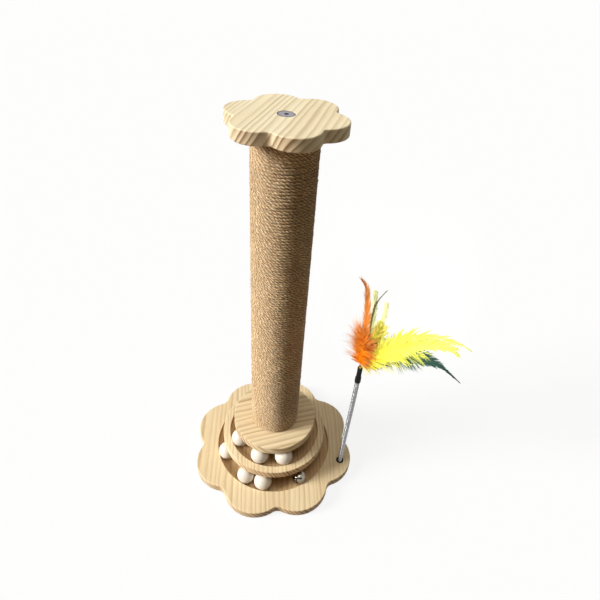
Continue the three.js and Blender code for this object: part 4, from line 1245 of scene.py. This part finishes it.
teal = feather_material("green_hackle", (0.006, 0.008, 0.008), (0.16, 0.15, 0.035), (0.020, 0.085, 0.055),
                        (0.010, 0.013, 0.014), dark=0.5, light=1.5, glow=0.05)
feather("green_hackle_feather", teal, "green_feather", 0,
        [(9, 1, 12), (21, 3, 27), (42, 4, 38), (68, 4, 42), (92, 3, 40), (112, 2, 33), (139, 1, 14)],
        [{"from": 0.30, "to": 0.80, "count": 680, "angle": [(0.3, 40), (0.55, 27), (0.80, 8)],
          "ruffle": 2, "length": [(0.3, 18), (0.48, 24), (0.62, 18), (0.80, 7)], "width": 1.2,
          "curl": 0.06, "stray": 0.02, "loft": 0.02, "clump": 6, "gather": 2, "short": 0.85},
         {"from": 0.78, "to": 0.995, "count": 200, "angle": [(0.78, 9), (1, 3)], "ruffle": 1.5,
          "length": [(0.78, 11), (1, 4)], "width": 0.9, "curl": 0.03, "stray": 0.01, "loft": 0.02},
         {"from": 0.08, "to": 0.50, "count": 420, "angle": [(0, 74), (0.5, 52)], "ruffle": 9,
          "length": [(0, 12), (0.2, 28), (0.4, 31), (0.5, 25)], "width": 0.7, "curl": 0.12,
          "stray": 0.12, "loft": 0.2, "clump": 5}],
        seed=15)

gold = feather_material("gold_down", (0.95, 0.82, 0.10), (0.98, 0.80, 0.04), (0.97, 0.88, 0.08),
                        (0.95, 0.90, 0.18), fringe=(0.94, 0.90, 0.28), dark=0.92, light=1.03, solid=0.75)
feather("yellow_fluff_feather", gold, "yellow_feather", 45,
        [(4, 7, 14), (10, 11, 36), (14, 12, 58), (16, 12, 74)],
        [{"from": 0.12, "to": 0.98, "count": 760, "angle": [(0, 74), (0.5, 56), (1, 12)],
          "ruffle": 10, "length": [(0, 14), (0.4, 22), (0.8, 22), (1, 14)], "width": 1.1,
          "curl": 0.10, "stray": 0.10, "loft": 0.25, "pile": 1.6},
         {"from": 0.2, "to": 0.95, "count": 300, "angle": [(0, 66), (1, 22)], "ruffle": 11,
          "length": [(0, 15), (0.5, 26), (1, 18)], "width": 0.42, "curl": 0.12, "stray": 0.15,
          "loft": 0.28, "clump": 4}],
        seed=16, face=near_upright)

straw = feather_material("pale_strip", (0.76, 0.76, 0.36), (0.80, 0.79, 0.33), (0.80, 0.81, 0.38),
                         (0.80, 0.81, 0.42), dark=0.93, light=1.04, glow=0.04)
blunt = {"from": 0.93, "to": 0.965, "count": 60, "angle": [(0.9, 0), (1, 0)], "ruffle": 19,
         "length": [(0.9, 6), (1, 6)], "width": 0.7, "short": 0.93, "curl": 0, "stray": 0.01,
         "loft": 0.02, "clump": 1}
midrib = {"from": 0.3, "to": 0.90, "count": 90, "angle": [(0, 5), (1, 5)], "ruffle": 3,
          "length": [(0, 10), (1, 8)], "width": 0.8, "short": 0.93, "curl": 0, "stray": 0.01,
          "loft": 0.03, "clump": 1, "pile": 0.45}
feather("yellow_strip_right_feather", straw, "pale_yellow_feather", 90,
        [(1, 11, 16), (9, 17, 50), (17, 18, 85), (17.5, 18, 116)],
        [{"from": 0.3, "to": 0.955, "count": 230, "angle": [(0.3, 30), (1, 30)], "ruffle": 2,
          "length": [(0.3, 8), (0.6, 9), (0.9, 9.5), (0.96, 7.5)], "width": 0.85, "short": 0.95,
          "curl": 0.03, "stray": 0.01, "loft": 0.02, "clump": 1}, midrib, blunt],
        seed=17, face=near_upright)
feather("yellow_strip_left_feather", straw, "pale_yellow_feather", 135,
        [(-1, 5, 16), (3, 6, 60), (3, 6, 104), (-1, 6, 142)],
        [{"from": 0.3, "to": 0.955, "count": 250, "angle": [(0.3, 30), (1, 30)], "ruffle": 2,
          "length": [(0.3, 9), (0.6, 10), (0.9, 10.5), (0.96, 8)], "width": 0.85, "short": 0.95,
          "curl": 0.03, "stray": 0.01, "loft": 0.02, "clump": 1}, midrib, blunt],
        seed=18, face=near_upright)

moss = feather_material("olive_hackle", (0.10, 0.10, 0.035), (0.40, 0.38, 0.11), (0.19, 0.20, 0.07),
                        (0.095, 0.105, 0.045), dark=0.7, light=1.2)
feather("olive_hackle_feather", moss, "olive_feather", None,
        [(0, 1, 20), (2, 2, 60), (2, 2, 98), (5, 2, 126), (14, 2, 147)],
        [{"from": 0.3, "to": 0.99, "count": 260, "angle": [(0.3, 22), (1, 8)], "ruffle": 2,
          "length": [(0.3, 9), (0.7, 7), (0.85, 5), (1, 3)], "width": 0.6, "curl": 0.08,
          "stray": 0.02, "loft": 0.04}],
        seed=19)
